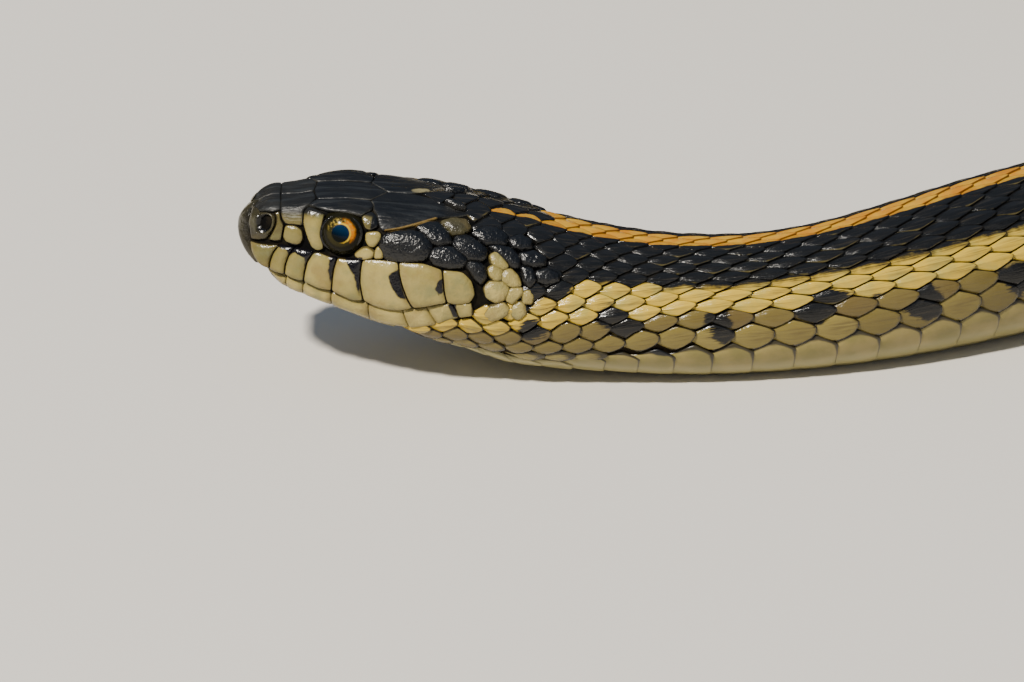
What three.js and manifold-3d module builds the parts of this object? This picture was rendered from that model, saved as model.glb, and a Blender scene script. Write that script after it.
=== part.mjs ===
// A plains garter snake at life size, in millimetres with +Z up.
// It looks along -X with its head and neck a little raised, and the rest of it
// lies on the floor in loose bends. Every solid is a loft along one centreline.

import * as THREE from 'three';
import { mergeVertices } from 'three/addons/utils/BufferGeometryUtils.js';
import Module from 'manifold-3d';

const wasm = await Module();
wasm.setup();

// Driving sizes. Lengths along the snake are measured from the tip of its snout.
const SNAKE_LENGTH = 640;
const HEAD_END = 22;
const JAW_END = 17.2;
const NECK_END = 45;
const VENT = 497;
const TRUNK_LENGTHS = 8;
const TAIL_LENGTHS = 3;
const JOINT_GAP = 0.3;
const SNOUT_X = -11;
const SNOUT_Y = -125.3;

// The bends of the body: where each starts and ends, and how far it turns to the left.
const BENDS = [
  { from: 29, to: 60, degrees: 26 },
  { from: 76, to: 200, degrees: 146 },
  { from: 205, to: 270, degrees: -40 },
  { from: 275, to: 330, degrees: 40 },
  { from: 325, to: 455, degrees: -185 },
  { from: 455, to: 530, degrees: 60 },
  { from: 530, to: 640, degrees: -110 },
];

// Mean radius of the body along its length.
const GIRTH = [
  [0, 5.0], [18, 6.0], [21, 6.0], [25, 5.75], [31, 5.45], [35, 5.35], [40, 5.3], [44, 5.4],
  [48, 5.6], [52, 5.85], [60, 6.2], [80, 6.5], [110, 6.9], [180, 7.35], [260, 7.5],
  [340, 7.3], [420, 6.4], [470, 5.3], [497, 4.7], [520, 4.1], [560, 2.9], [600, 1.7],
  [628, 0.9], [640, 0.45],
];
const BODY_WIDTH = 1.03;
const BODY_HEIGHT = 0.97;
const BELLY_SQUARENESS = 0.8;
const BELLY_FLAT = 0.93;

// The neck leaves the floor in a soft curve round this place and climbs at this slope.
const LIFT_AT = 30.9;
const LIFT_SLOPE = 0.207;
const LIFT_CURVE = 7.5;
const LOWEST_NECK = 36;

// Half outlines of the head. Each line along the head has its distance out from the
// middle and its height over the centreline, at nine places behind the snout.
const HEAD_PLACES = [0, 3.5, 5, 7.9, 11.7, 14, 16.3, 18.5, 22];
const TOP_UP = [3.45, 4.2, 4.75, 5.4, 5.95, 6.25, 6.3, 6.2, 6.0];
const CROWN_OUT = [2.0, 2.5, 2.9, 3.55, 4.1, 4.0, 3.85, 3.75, 3.6];
const CROWN_UP = [2.95, 3.7, 4.25, 4.9, 4.95, 5.0, 5.05, 5.05, 4.85];
const CHEEK_OUT = [2.35, 3.05, 3.6, 4.3, 5.3, 5.75, 5.95, 5.95, 5.65];
const CHEEK_UP = [0.95, 1.1, 1.1, 1.45, 2.25, 2.6, 2.55, 2.25, 1.85];
const LIP_OUT = [2.3, 3.15, 3.75, 4.55, 5.55, 5.9, 6.1, 6.1, 5.75];
const LIP_UP = [-0.95, -1.55, -1.6, -1.7, -1.4, -1.05, -0.6, -1.0, -1.8];
const JAW_OUT = [1.4, 2.15, 2.65, 3.35, 4.35, 4.75, 4.95, 4.7, 3.9];
const JAW_UP = [-1.95, -2.6, -2.75, -3.05, -3.3, -3.45, -3.65, -3.85, -4.4];
const CHIN_UP = [-2.35, -3.0, -3.25, -3.75, -4.15, -4.4, -4.7, -5.0, -5.4];

// The snout is rounded over its first length, and the chin starts further back.
const SNOUT_ROUND = 2.2;
const SNOUT_UP = 0.9;
const CHIN_START = 1.3;
const CHIN_ROUND = 2.0;
const HEAD_TO_NECK = [17, 24];

// The eyes are balls in sockets. Their place is a distance from the snout and a place
// round the head, from 0 at the top line through 1 at the crown to 2 at the cheek.
const EYE_AT = 7.3;
const EYE_ROUND = 1.44;
const EYE_RADIUS = 2.0;
const EYE_DEPTH = 1.35;

// Fineness of the solids.
const CENTRE_STEP = 0.25;
const HEAD_RING_STEP = 1.0;
const HEAD_SIDES = 30;
const BODY_RING_STEP = 4.6;
const BODY_SIDES = 16;

const CHARCOAL = { color: 0x1d2024, roughness: 0.35, metalness: 0 };
const CREAM = { color: 0xb9ad6c, roughness: 0.45, metalness: 0 };
const OLIVE = { color: 0x3b3a2c, roughness: 0.45, metalness: 0 };
const EYE_DARK = { color: 0x2a1a0c, roughness: 0.08, metalness: 0 };

const clamp = THREE.MathUtils.clamp;
const lerp = THREE.MathUtils.lerp;
const radians = THREE.MathUtils.degToRad;

// A smooth curve through named values that never swings past them.
function profile(places, values) {
  const steps = places.slice(1).map((place, i) => place - places[i]);
  const slopes = steps.map((step, i) => (values[i + 1] - values[i]) / step);
  const tangents = values.map((value, i) => {
    if (i === 0) {
      return slopes[0];
    }
    if (i === values.length - 1) {
      return slopes[i - 1];
    }
    if (slopes[i - 1] * slopes[i] <= 0) {
      return 0;
    }
    const before = 2 * steps[i] + steps[i - 1];
    const after = steps[i] + 2 * steps[i - 1];
    return (before + after) / (before / slopes[i - 1] + after / slopes[i]);
  });
  return (place) => {
    const x = clamp(place, places[0], places[places.length - 1]);
    let i = 0;
    while (i < steps.length - 1 && x > places[i + 1]) {
      i += 1;
    }
    const t = (x - places[i]) / steps[i];
    return (1 + 2 * t) * (1 - t) ** 2 * values[i]
      + t * (1 - t) ** 2 * steps[i] * tangents[i]
      + t * t * (3 - 2 * t) * values[i + 1]
      + t * t * (t - 1) * steps[i] * tangents[i + 1];
  };
}

const girth = profile(GIRTH.map((pair) => pair[0]), GIRTH.map((pair) => pair[1]));
const headLines = {
  topUp: profile(HEAD_PLACES, TOP_UP),
  crownOut: profile(HEAD_PLACES, CROWN_OUT),
  crownUp: profile(HEAD_PLACES, CROWN_UP),
  cheekOut: profile(HEAD_PLACES, CHEEK_OUT),
  cheekUp: profile(HEAD_PLACES, CHEEK_UP),
  lipOut: profile(HEAD_PLACES, LIP_OUT),
  lipUp: profile(HEAD_PLACES, LIP_UP),
  jawOut: profile(HEAD_PLACES, JAW_OUT),
  jawUp: profile(HEAD_PLACES, JAW_UP),
  chinUp: profile(HEAD_PLACES, CHIN_UP),
};

// The way the snake points at each place, counted from +X.
function heading(s) {
  return BENDS.reduce((sum, bend) => (
    sum + radians(bend.degrees) * THREE.MathUtils.smoothstep(s, bend.from, bend.to)
  ), 0);
}

// Height of the centreline: the belly's flat is on the floor from the neck to the tail.
function centreHeight(s) {
  const lying = BELLY_FLAT * BODY_HEIGHT * girth(Math.max(s, LOWEST_NECK));
  const ahead = LIFT_AT - s;
  if (ahead <= -LIFT_CURVE) {
    return lying;
  }
  if (ahead >= LIFT_CURVE) {
    return lying + LIFT_SLOPE * ahead;
  }
  return lying + LIFT_SLOPE * (ahead + LIFT_CURVE) ** 2 / (4 * LIFT_CURVE);
}

// Walk along the snake once and keep the centreline's points.
function walkCentreline() {
  const points = [new THREE.Vector3(SNOUT_X, SNOUT_Y, centreHeight(0))];
  const count = Math.round(SNAKE_LENGTH / CENTRE_STEP);
  for (let i = 0; i < count; i += 1) {
    const s = i * CENTRE_STEP;
    const rise = centreHeight(s + CENTRE_STEP) - centreHeight(s);
    const run = Math.sqrt(CENTRE_STEP ** 2 - rise ** 2);
    const angle = heading(s + CENTRE_STEP / 2);
    const last = points[i];
    points.push(new THREE.Vector3(
      last.x + run * Math.cos(angle), last.y + run * Math.sin(angle), last.z + rise));
  }
  return points;
}

const centreline = walkCentreline();

// A point of the centreline. Ahead of the snout it runs on straight.
function centre(s) {
  const x = s / CENTRE_STEP;
  const i = clamp(Math.floor(x), 0, centreline.length - 2);
  return centreline[i].clone().lerp(centreline[i + 1], x - i);
}

// Directions at a place: along the snake, out to its own left, and up.
function directions(s) {
  const ahead = centre(Math.min(s + CENTRE_STEP, SNAKE_LENGTH));
  const behind = centre(s - CENTRE_STEP);
  const along = ahead.sub(behind).normalize();
  const out = new THREE.Vector3().crossVectors(along, new THREE.Vector3(0, 0, 1)).normalize();
  const up = new THREE.Vector3().crossVectors(out, along);
  return { along, out, up };
}

// A point at a place, a distance out and a height over the centreline.
function place(s, out, up) {
  const way = directions(s);
  return centre(s).addScaledVector(way.out, out).addScaledVector(way.up, up);
}

// Quarter of a circle: 0 at the start of a rounded end, 1 past its length.
function rounded(distance, length) {
  const x = clamp(distance / length, 0, 1);
  return Math.sqrt(1 - (1 - x) ** 2);
}

// A smooth curve between the two middle values of four.
function between(a, b, c, d, t) {
  return 0.5 * (2 * b + (c - a) * t + (2 * a - 5 * b + 4 * c - d) * t * t
    + (3 * b - a - 3 * c + d) * t ** 3);
}

// Half outline of the head: round goes from 0 at the top line, over the crown, cheek,
// lip and jaw lines, to 5 at the middle of the chin.
function headOutline(s, round) {
  const snout = rounded(s, SNOUT_ROUND);
  const chin = rounded(s - CHIN_START, CHIN_ROUND);
  const fromTip = (up) => SNOUT_UP + (up - SNOUT_UP) * snout;
  const lipUp = headLines.lipUp(s);
  const lip = fromTip(lipUp);
  const outs = [
    0,
    headLines.crownOut(s) * snout,
    headLines.cheekOut(s) * snout,
    headLines.lipOut(s) * snout,
    headLines.jawOut(s) * snout * lerp(0.3, 1, chin),
    0,
  ];
  const ups = [
    fromTip(headLines.topUp(s)),
    fromTip(headLines.crownUp(s)),
    fromTip(headLines.cheekUp(s)),
    lip,
    lip + (headLines.jawUp(s) - lipUp) * chin,
    lip + (headLines.chinUp(s) - lipUp) * chin,
  ];
  const i = clamp(Math.floor(round), 0, 4);
  const t = round - i;
  const outAt = (k) => (k < 0 ? -outs[1] : k > 5 ? -outs[4] : outs[k]);
  const upAt = (k) => (k < 0 ? ups[1] : k > 5 ? ups[4] : ups[k]);
  return {
    out: between(outAt(i - 1), outAt(i), outAt(i + 1), outAt(i + 2), t),
    up: between(upAt(i - 1), upAt(i), upAt(i + 1), upAt(i + 2), t),
  };
}

// Half outline of the body: nearly round, with a squarer belly that is flat below.
function bodyOutline(s, round) {
  const wide = girth(s) * BODY_WIDTH;
  const high = girth(s) * BODY_HEIGHT;
  const angle = Math.PI * round / 5;
  const power = angle > Math.PI / 2 ? BELLY_SQUARENESS : 1;
  const out = wide * Math.abs(Math.sin(angle)) ** power;
  const up = high * Math.sign(Math.cos(angle)) * Math.abs(Math.cos(angle)) ** power;
  return { out, up: Math.max(up, -BELLY_FLAT * high) };
}

function outline(s, round) {
  const head = headOutline(s, round);
  const body = bodyOutline(s, round);
  const share = THREE.MathUtils.smoothstep(s, HEAD_TO_NECK[0], HEAD_TO_NECK[1]);
  return { out: lerp(head.out, body.out, share), up: lerp(head.up, body.up, share) };
}

// One ring of points round the snake, from the top line down one side and up the other.
function ring(s, sides) {
  const points = [];
  for (let k = 0; k < sides; k += 1) {
    const turn = k / sides;
    const side = turn <= 0.5 ? 1 : -1;
    const shape = outline(s, 10 * Math.min(turn, 1 - turn));
    points.push(place(s, side * shape.out, shape.up));
  }
  return points;
}

// A closed solid through rings of points, with a middle point over each end ring.
function loft(rings) {
  const sides = rings[0].length;
  const positions = [];
  const faces = [];
  const add = (point) => positions.push(point.x, point.y, point.z);
  rings.forEach((points) => points.forEach(add));
  const middle = (points) => points.reduce((sum, point) => sum.add(point), new THREE.Vector3())
    .divideScalar(points.length);
  add(middle(rings[0]));
  add(middle(rings[rings.length - 1]));
  const first = rings.length * sides;
  const lastRing = (rings.length - 1) * sides;
  for (let k = 0; k < sides; k += 1) {
    const next = (k + 1) % sides;
    for (let i = 0; i < rings.length - 1; i += 1) {
      const a = i * sides;
      const b = a + sides;
      faces.push(a + k, b + next, b + k, a + k, a + next, b + next);
    }
    faces.push(first, next, k);
    faces.push(first + 1, lastRing + k, lastRing + next);
  }
  const geometry = new THREE.BufferGeometry();
  geometry.setAttribute('position', new THREE.Float32BufferAttribute(positions, 3));
  geometry.setIndex(faces);
  return geometry;
}

function toSolid(geometry) {
  const bare = geometry.clone();
  bare.deleteAttribute('normal');
  bare.deleteAttribute('uv');
  const merged = mergeVertices(bare);
  return new wasm.Manifold(new wasm.Mesh({
    numProp: 3,
    vertProperties: new Float32Array(merged.attributes.position.array),
    triVerts: new Uint32Array(merged.index.array),
  }));
}

function toGeometry(solid) {
  const mesh = solid.getMesh();
  const geometry = new THREE.BufferGeometry();
  geometry.setAttribute('position', new THREE.Float32BufferAttribute(mesh.vertProperties, 3));
  geometry.setIndex(Array.from(mesh.triVerts));
  return geometry;
}

function namedMesh(name, geometry, finish) {
  geometry.computeVertexNormals();
  const mesh = new THREE.Mesh(geometry, new THREE.MeshStandardMaterial(finish));
  mesh.name = name;
  return mesh;
}

// Places of the rings along a stretch, evenly spaced and as close as the step says.
function placesAlong(from, to, step) {
  const count = Math.ceil((to - from) / step);
  return Array.from({ length: count + 1 }, (unused, i) => lerp(from, to, i / count));
}

// The whole head from the snout to the neck, with closer rings where the snout is round.
function wholeHead() {
  const snoutRings = 5;
  const snoutPlaces = Array.from({ length: snoutRings }, (unused, i) => (
    SNOUT_ROUND * (1 - Math.cos((i + 0.5) / snoutRings * Math.PI / 2))
  ));
  const rest = placesAlong(SNOUT_ROUND, HEAD_END - JOINT_GAP / 2, HEAD_RING_STEP);
  return loft([...snoutPlaces, ...rest].map((s) => ring(s, HEAD_SIDES)));
}

// The room under the mouth line, as far back as the jaw goes.
function roomUnderMouth(top, back) {
  const wide = 12;
  const deep = 14;
  const before = -3;
  const rings = placesAlong(before, back, HEAD_RING_STEP).map((s) => {
    const mouth = headLines.lipUp(s) + top;
    return [
      place(s, wide, mouth),
      place(s, wide, -deep),
      place(s, -wide, -deep),
      place(s, -wide, mouth),
    ];
  });
  return toSolid(loft(rings));
}

// An eyeball, set into the side of the head along the way that the head's side faces.
function eyeCentre(side) {
  const step = 0.05;
  const at = (s, round) => {
    const shape = outline(s, round);
    return place(s, side * shape.out, shape.up);
  };
  const surface = at(EYE_AT, EYE_ROUND);
  const along = at(EYE_AT + step, EYE_ROUND).sub(at(EYE_AT - step, EYE_ROUND));
  const down = at(EYE_AT, EYE_ROUND + step).sub(at(EYE_AT, EYE_ROUND - step));
  const outward = down.cross(along).normalize().multiplyScalar(side);
  return surface.addScaledVector(outward, -EYE_DEPTH);
}

function eyeBall(side, radius) {
  const ball = new THREE.SphereGeometry(radius, 24, 16);
  const middle = eyeCentre(side);
  ball.translate(middle.x, middle.y, middle.z);
  return ball;
}

function headPieces() {
  const whole = toSolid(wholeHead());
  const jaw = whole.intersect(roomUnderMouth(-JOINT_GAP / 2, JAW_END - JOINT_GAP / 2));
  const upper = whole
    .subtract(roomUnderMouth(JOINT_GAP / 2, JAW_END + JOINT_GAP / 2))
    .subtract(toSolid(eyeBall(1, EYE_RADIUS + JOINT_GAP)))
    .subtract(toSolid(eyeBall(-1, EYE_RADIUS + JOINT_GAP)));
  return [
    namedMesh('head', toGeometry(upper), CHARCOAL),
    namedMesh('lower_jaw', toGeometry(jaw), CREAM),
    namedMesh('eye_left', eyeBall(1, EYE_RADIUS), EYE_DARK),
    namedMesh('eye_right', eyeBall(-1, EYE_RADIUS), EYE_DARK),
  ];
}

function bodyLength(name, from, to) {
  const places = placesAlong(from + JOINT_GAP / 2, to - JOINT_GAP / 2, BODY_RING_STEP);
  return namedMesh(name, loft(places.map((s) => ring(s, BODY_SIDES))), OLIVE);
}

function bodyLengths(name, from, to, count) {
  return Array.from({ length: count }, (unused, i) => bodyLength(
    `${name}_${i + 1}`, lerp(from, to, i / count), lerp(from, to, (i + 1) / count)));
}

const snake = new THREE.Group();
snake.name = 'garter_snake';
snake.add(...headPieces());
snake.add(bodyLength('neck', HEAD_END, NECK_END));
snake.add(...bodyLengths('trunk', NECK_END, VENT, TRUNK_LENGTHS));
snake.add(...bodyLengths('tail', VENT, SNAKE_LENGTH, TAIL_LENGTHS));

export default snake;
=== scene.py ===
# %% [markdown]
# # A plains garter snake as a museum model
# The model is a life-size snake, 640 mm long, that lies on the floor in loose bends with its
# head a little raised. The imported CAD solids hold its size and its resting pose. This script
# builds what is seen: one skin, the plates of the head, the scales of the body, the scutes of
# the belly and the eyes. Every size is in millimetres until a mesh is made.

# %% Load the frame
import math

import bpy
import numpy as np
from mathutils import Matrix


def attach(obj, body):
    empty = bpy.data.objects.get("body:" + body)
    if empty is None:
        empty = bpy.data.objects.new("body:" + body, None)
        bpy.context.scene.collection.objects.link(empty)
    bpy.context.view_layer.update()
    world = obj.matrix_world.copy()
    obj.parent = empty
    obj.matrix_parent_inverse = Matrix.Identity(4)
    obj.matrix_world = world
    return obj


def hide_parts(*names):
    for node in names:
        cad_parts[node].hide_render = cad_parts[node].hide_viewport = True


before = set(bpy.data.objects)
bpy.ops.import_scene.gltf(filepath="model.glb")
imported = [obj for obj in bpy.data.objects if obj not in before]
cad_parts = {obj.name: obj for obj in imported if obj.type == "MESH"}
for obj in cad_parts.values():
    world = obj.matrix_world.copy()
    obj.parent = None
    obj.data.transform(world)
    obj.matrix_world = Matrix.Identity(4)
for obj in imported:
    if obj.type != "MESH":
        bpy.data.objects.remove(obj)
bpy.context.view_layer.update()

print("CAD nodes:", len(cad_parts))

# %% [markdown]
# ## The line that the snake lies on
# A snake is a tube that bends sideways far more than up and down. So its shape is kept as a
# centreline with a heading at each place, and as outlines across it. The same few curves shape
# the CAD solids, which is why the skin fits them with no measuring. A smooth curve through
# named values must not swing past them, or the head would get lumps: a monotone cubic does that.

# %% Curves through named values
MM = 0.001


def profile(places, values):
    """A smooth curve through named values that never swings past them."""
    places, values = np.array(places, float), np.array(values, float)
    steps = np.diff(places)
    slopes = np.diff(values) / steps
    tangents = np.concatenate([slopes[:1], np.zeros(len(slopes) - 1), slopes[-1:]])
    for i in range(1, len(slopes)):
        if slopes[i - 1] * slopes[i] > 0:
            before = 2 * steps[i] + steps[i - 1]
            after = steps[i] + 2 * steps[i - 1]
            tangents[i] = (before + after) / (before / slopes[i - 1] + after / slopes[i])

    def at(place):
        x = np.clip(place, places[0], places[-1])
        i = np.clip(np.searchsorted(places, x, side="right") - 1, 0, len(steps) - 1)
        t = (x - places[i]) / steps[i]
        return ((1 + 2 * t) * (1 - t) ** 2 * values[i] + t * (1 - t) ** 2 * steps[i] * tangents[i]
                + t * t * (3 - 2 * t) * values[i + 1] + t * t * (t - 1) * steps[i] * tangents[i + 1])

    return at


def smoothstep(x, start, end):
    t = np.clip((x - start) / (end - start), 0, 1)
    return t * t * (3 - 2 * t)


# %% The snake's lengths, bends and girth
SNAKE_LENGTH = 640.0
VENT = 497.0
SNOUT_X = -11.0
SNOUT_Y = -125.3
# Each bend: where it starts and ends, and how many degrees the way to the tail turns in it.
BENDS = [(29, 60, 26), (76, 200, 146), (205, 270, -40), (275, 330, 40),
         (325, 455, -185), (455, 530, 60), (530, 640, -110)]
GIRTH_PLACES = [0, 18, 21, 25, 31, 35, 40, 44, 48, 52, 60, 80,
                110, 180, 260, 340, 420, 470, 497, 520, 560, 600, 628, 640]
GIRTH_RADII = [5.0, 6.0, 6.0, 5.75, 5.45, 5.35, 5.3, 5.4, 5.6, 5.85, 6.2, 6.5,
               6.9, 7.35, 7.5, 7.3, 6.4, 5.3, 4.7, 4.1, 2.9, 1.7, 0.9, 0.45]
BODY_WIDTH = 1.03
BODY_HEIGHT = 0.97
BELLY_SQUARENESS = 0.8
BELLY_FLAT = 0.93
LIFT_AT = 30.9
LIFT_SLOPE = 0.207
LIFT_CURVE = 7.5
LOWEST_NECK = 36.0
CENTRE_STEP = 0.25
girth = profile(GIRTH_PLACES, GIRTH_RADII)


def heading(s):
    """The way from a place to the tail, as an angle from +X."""
    return sum(math.radians(turn) * smoothstep(s, start, end) for start, end, turn in BENDS)


def centre_height(s):
    """The belly is on the floor from the neck to the tail, and the neck climbs from there."""
    lying = BELLY_FLAT * BODY_HEIGHT * girth(np.maximum(s, LOWEST_NECK))
    ahead = np.maximum(LIFT_AT - s, -LIFT_CURVE)
    curve = LIFT_SLOPE * (ahead + LIFT_CURVE) ** 2 / (4 * LIFT_CURVE)
    return lying + np.where(ahead >= LIFT_CURVE, LIFT_SLOPE * ahead, curve)


# %% Walk along the snake once
walk_from = np.arange(round(SNAKE_LENGTH / CENTRE_STEP)) * CENTRE_STEP
walk_rise = centre_height(walk_from + CENTRE_STEP) - centre_height(walk_from)
walk_run = np.sqrt(CENTRE_STEP ** 2 - walk_rise ** 2)
walk_angle = heading(walk_from + CENTRE_STEP / 2)
walk_steps = np.stack([walk_run * np.cos(walk_angle), walk_run * np.sin(walk_angle), walk_rise], 1)
snout_tip = np.array([[SNOUT_X, SNOUT_Y, float(centre_height(0.0))]])
centreline = np.concatenate([snout_tip, snout_tip + np.cumsum(walk_steps, axis=0)])


def centre(s):
    """A point of the centreline. Ahead of the snout it runs on straight."""
    x = np.asarray(s, float) / CENTRE_STEP
    i = np.clip(np.floor(x).astype(int), 0, len(centreline) - 2)
    return centreline[i] + (centreline[i + 1] - centreline[i]) * (x - i)[..., None]


def unit(vectors):
    return vectors / np.linalg.norm(vectors, axis=-1, keepdims=True)


def directions(s):
    """Directions at a place: along the snake to its tail, out to its own left, and up."""
    along = unit(centre(np.minimum(s + CENTRE_STEP, SNAKE_LENGTH)) - centre(s - CENTRE_STEP))
    out = unit(np.cross(along, [0.0, 0.0, 1.0]))
    return along, out, np.cross(out, along)


print("tail tip at", np.round(centreline[-1], 2), "mm")

# %% [markdown]
# ## Outlines across the snake
# The head is described by lines that run along it: the top line, crown, cheek, lip, jaw and
# chin. A place round the head is a number from 0 at the top line to 5 at the middle of the chin,
# so the cheek is 2 and the lip 3. The body is nearly round with a squarer belly. Between them the
# outlines are mixed over the nape. Every plate and scale below is put on this one surface.

# %% The head's lines
HEAD_PLACES = [0, 3.5, 5, 7.9, 11.7, 14, 16.3, 18.5, 22]
top_up = profile(HEAD_PLACES, [3.45, 4.2, 4.75, 5.4, 5.95, 6.25, 6.3, 6.2, 6.0])
crown_out = profile(HEAD_PLACES, [2.0, 2.5, 2.9, 3.55, 4.1, 4.0, 3.85, 3.75, 3.6])
crown_up = profile(HEAD_PLACES, [2.95, 3.7, 4.25, 4.9, 4.95, 5.0, 5.05, 5.05, 4.85])
cheek_out = profile(HEAD_PLACES, [2.35, 3.05, 3.6, 4.3, 5.3, 5.75, 5.95, 5.95, 5.65])
cheek_up = profile(HEAD_PLACES, [0.95, 1.1, 1.1, 1.45, 2.25, 2.6, 2.55, 2.25, 1.85])
lip_out = profile(HEAD_PLACES, [2.3, 3.15, 3.75, 4.55, 5.55, 5.9, 6.1, 6.1, 5.75])
lip_up = profile(HEAD_PLACES, [-0.95, -1.55, -1.6, -1.7, -1.4, -1.05, -0.6, -1.0, -1.8])
jaw_out = profile(HEAD_PLACES, [1.4, 2.15, 2.65, 3.35, 4.35, 4.75, 4.95, 4.7, 3.9])
jaw_up = profile(HEAD_PLACES, [-1.95, -2.6, -2.75, -3.05, -3.3, -3.45, -3.65, -3.85, -4.4])
chin_up = profile(HEAD_PLACES, [-2.35, -3.0, -3.25, -3.75, -4.15, -4.4, -4.7, -5.0, -5.4])
SNOUT_ROUND = 2.2
SNOUT_UP = 0.9
CHIN_START = 2.3
CHIN_ROUND = 2.0
CHIN_TIP_WIDTH = 0.3
HEAD_TO_NECK = (17, 24)


def rounded(distance, length):
    """Quarter of a circle: 0 at the start of a rounded end, 1 past its length."""
    return np.sqrt(1 - (1 - np.clip(distance / length, 0, 1)) ** 2)


def head_outline(s, place_round):
    """Half outline of the head, as a smooth curve through its six lines."""
    snout, chin = rounded(s, SNOUT_ROUND), rounded(s - CHIN_START, CHIN_ROUND)
    lip = SNOUT_UP + (lip_up(s) - SNOUT_UP) * snout
    outs = [0 * s, crown_out(s) * snout, cheek_out(s) * snout, lip_out(s) * snout,
            jaw_out(s) * snout * (CHIN_TIP_WIDTH + (1 - CHIN_TIP_WIDTH) * chin), 0 * s]
    ups = [SNOUT_UP + (line(s) - SNOUT_UP) * snout for line in (top_up, crown_up, cheek_up)]
    ups += [lip, lip + (jaw_up(s) - lip_up(s)) * chin, lip + (chin_up(s) - lip_up(s)) * chin]
    outs = np.stack([-outs[1]] + outs + [-outs[4]], -1)
    ups = np.stack([ups[1]] + ups + [ups[4]], -1)
    i = np.clip(np.floor(place_round).astype(int), 0, 4)
    t = place_round - i

    def through(values):
        a, b, c, d = (np.take_along_axis(values, (i + k)[..., None], -1)[..., 0] for k in range(4))
        return 0.5 * (2 * b + (c - a) * t + (2 * a - 5 * b + 4 * c - d) * t * t
                      + (3 * b - a - 3 * c + d) * t ** 3)

    return through(outs), through(ups)


def body_outline(s, place_round):
    """Half outline of the body: nearly round, with a squarer belly that is flat below."""
    angle = math.pi * place_round / 5
    power = np.where(angle > math.pi / 2, BELLY_SQUARENESS, 1.0)
    high = girth(s) * BODY_HEIGHT
    out = girth(s) * BODY_WIDTH * np.abs(np.sin(angle)) ** power
    up = high * np.sign(np.cos(angle)) * np.abs(np.cos(angle)) ** power
    return out, np.maximum(up, -BELLY_FLAT * high)


# %% Points and directions on the snake's surface
# A place round the snake is signed from here on: plus on its own left, minus on its right.
STEP_BACK = 0.06
STEP_ROUND = 0.012
WIDEST_HEAD = 16.3


def even(s):
    """Place behind the snout, evened out so that it runs steadily over the round snout."""
    s = np.asarray(s, float)
    near = np.arccos(1 - np.clip(s / SNOUT_ROUND, 0, 1)) * 2 / math.pi * SNOUT_ROUND
    return np.where(s < SNOUT_ROUND, near, s)


def uneven(q):
    """Place behind the snout from an evened one."""
    q = np.asarray(q, float)
    near = SNOUT_ROUND * (1 - np.cos(np.clip(q / SNOUT_ROUND, 0, 1) * math.pi / 2))
    return np.where(q < SNOUT_ROUND, near, q)


def wrapped(turn):
    """A place round the snake, brought between -5 and 5."""
    return (turn + 5) % 10 - 5


def surface(q, turn, lift=0.0):
    """Points on the snake's outer surface, at evened places q, raised by lift."""
    q, turn = np.broadcast_arrays(np.asarray(q, float), np.asarray(turn, float))
    turn = wrapped(turn)
    s, place_round = uneven(q), np.abs(turn)
    head_out, head_up = head_outline(s, place_round)
    body_out, body_up = body_outline(s, place_round)
    share = smoothstep(s, *HEAD_TO_NECK)
    out = np.sign(turn) * (head_out + (body_out - head_out) * share)
    up = head_up + (body_up - head_up) * share
    _, left, top = directions(s)
    points = centre(s) + left * out[..., None] + top * up[..., None]
    if np.any(lift):
        points = points + surface_ways(q, turn)[2] * np.asarray(lift, float)[..., None]
    return points


def surface_ways(q, turn):
    """How far the surface goes for each unit back and round, and the way it faces."""
    ahead = np.maximum(q - STEP_BACK, 0.0)
    along = (surface(q + STEP_BACK, turn) - surface(ahead, turn)) / (q + STEP_BACK - ahead)[..., None]
    around = (surface(q, turn + STEP_ROUND) - surface(q, turn - STEP_ROUND)) / (2 * STEP_ROUND)
    return along, around, unit(np.cross(around, along))


head_width = np.linalg.norm(surface(WIDEST_HEAD, 3.0) - surface(WIDEST_HEAD, -3.0))
print("head is", round(float(head_width), 2), "mm wide at its widest")

# %% [markdown]
# ## Camera
# The photo was taken from the snake's left with a long lens, from about 28 degrees above the
# floor. One point of the neck is tied to its place in the picture, and the scale there is
# 13 pixels for each millimetre, which gives the camera's place and its lens.

# %% Camera
PICTURE_WIDTH = 1024
PICTURE_HEIGHT = 682
TIED_PLACE = 35.2
TIED_PIXEL = (690.0, 302.7)
PIXELS_PER_MM = 13.0
CAMERA_DISTANCE = 900.0
CAMERA_ELEVATION = math.radians(28.0)
SENSOR = 36.0

view_right = np.array([1.0, 0.0, 0.0])
view_up = np.array([0.0, math.sin(CAMERA_ELEVATION), math.cos(CAMERA_ELEVATION)])
view_ahead = np.array([0.0, math.cos(CAMERA_ELEVATION), -math.sin(CAMERA_ELEVATION)])
right_of_middle = (TIED_PIXEL[0] - PICTURE_WIDTH / 2) / PIXELS_PER_MM
over_middle = (PICTURE_HEIGHT / 2 - TIED_PIXEL[1]) / PIXELS_PER_MM
camera_place = (centre(TIED_PLACE) - view_right * right_of_middle - view_up * over_middle
                - view_ahead * CAMERA_DISTANCE)


def new_object(name, data):
    """An object that is in the scene."""
    obj = bpy.data.objects.new(name, data)
    bpy.context.scene.collection.objects.link(obj)
    return obj


camera_data = bpy.data.cameras.new("Camera")
camera_data.sensor_width = SENSOR
camera_data.lens = SENSOR * CAMERA_DISTANCE * PIXELS_PER_MM / PICTURE_WIDTH
camera_data.clip_start = 0.05
camera = new_object("Camera", camera_data)
camera.location = camera_place * MM
camera.rotation_euler = (math.pi / 2 - CAMERA_ELEVATION, 0, 0)
bpy.context.scene.camera = camera
print("camera at", np.round(camera_place, 1), "mm, lens", round(camera_data.lens, 1))

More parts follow.
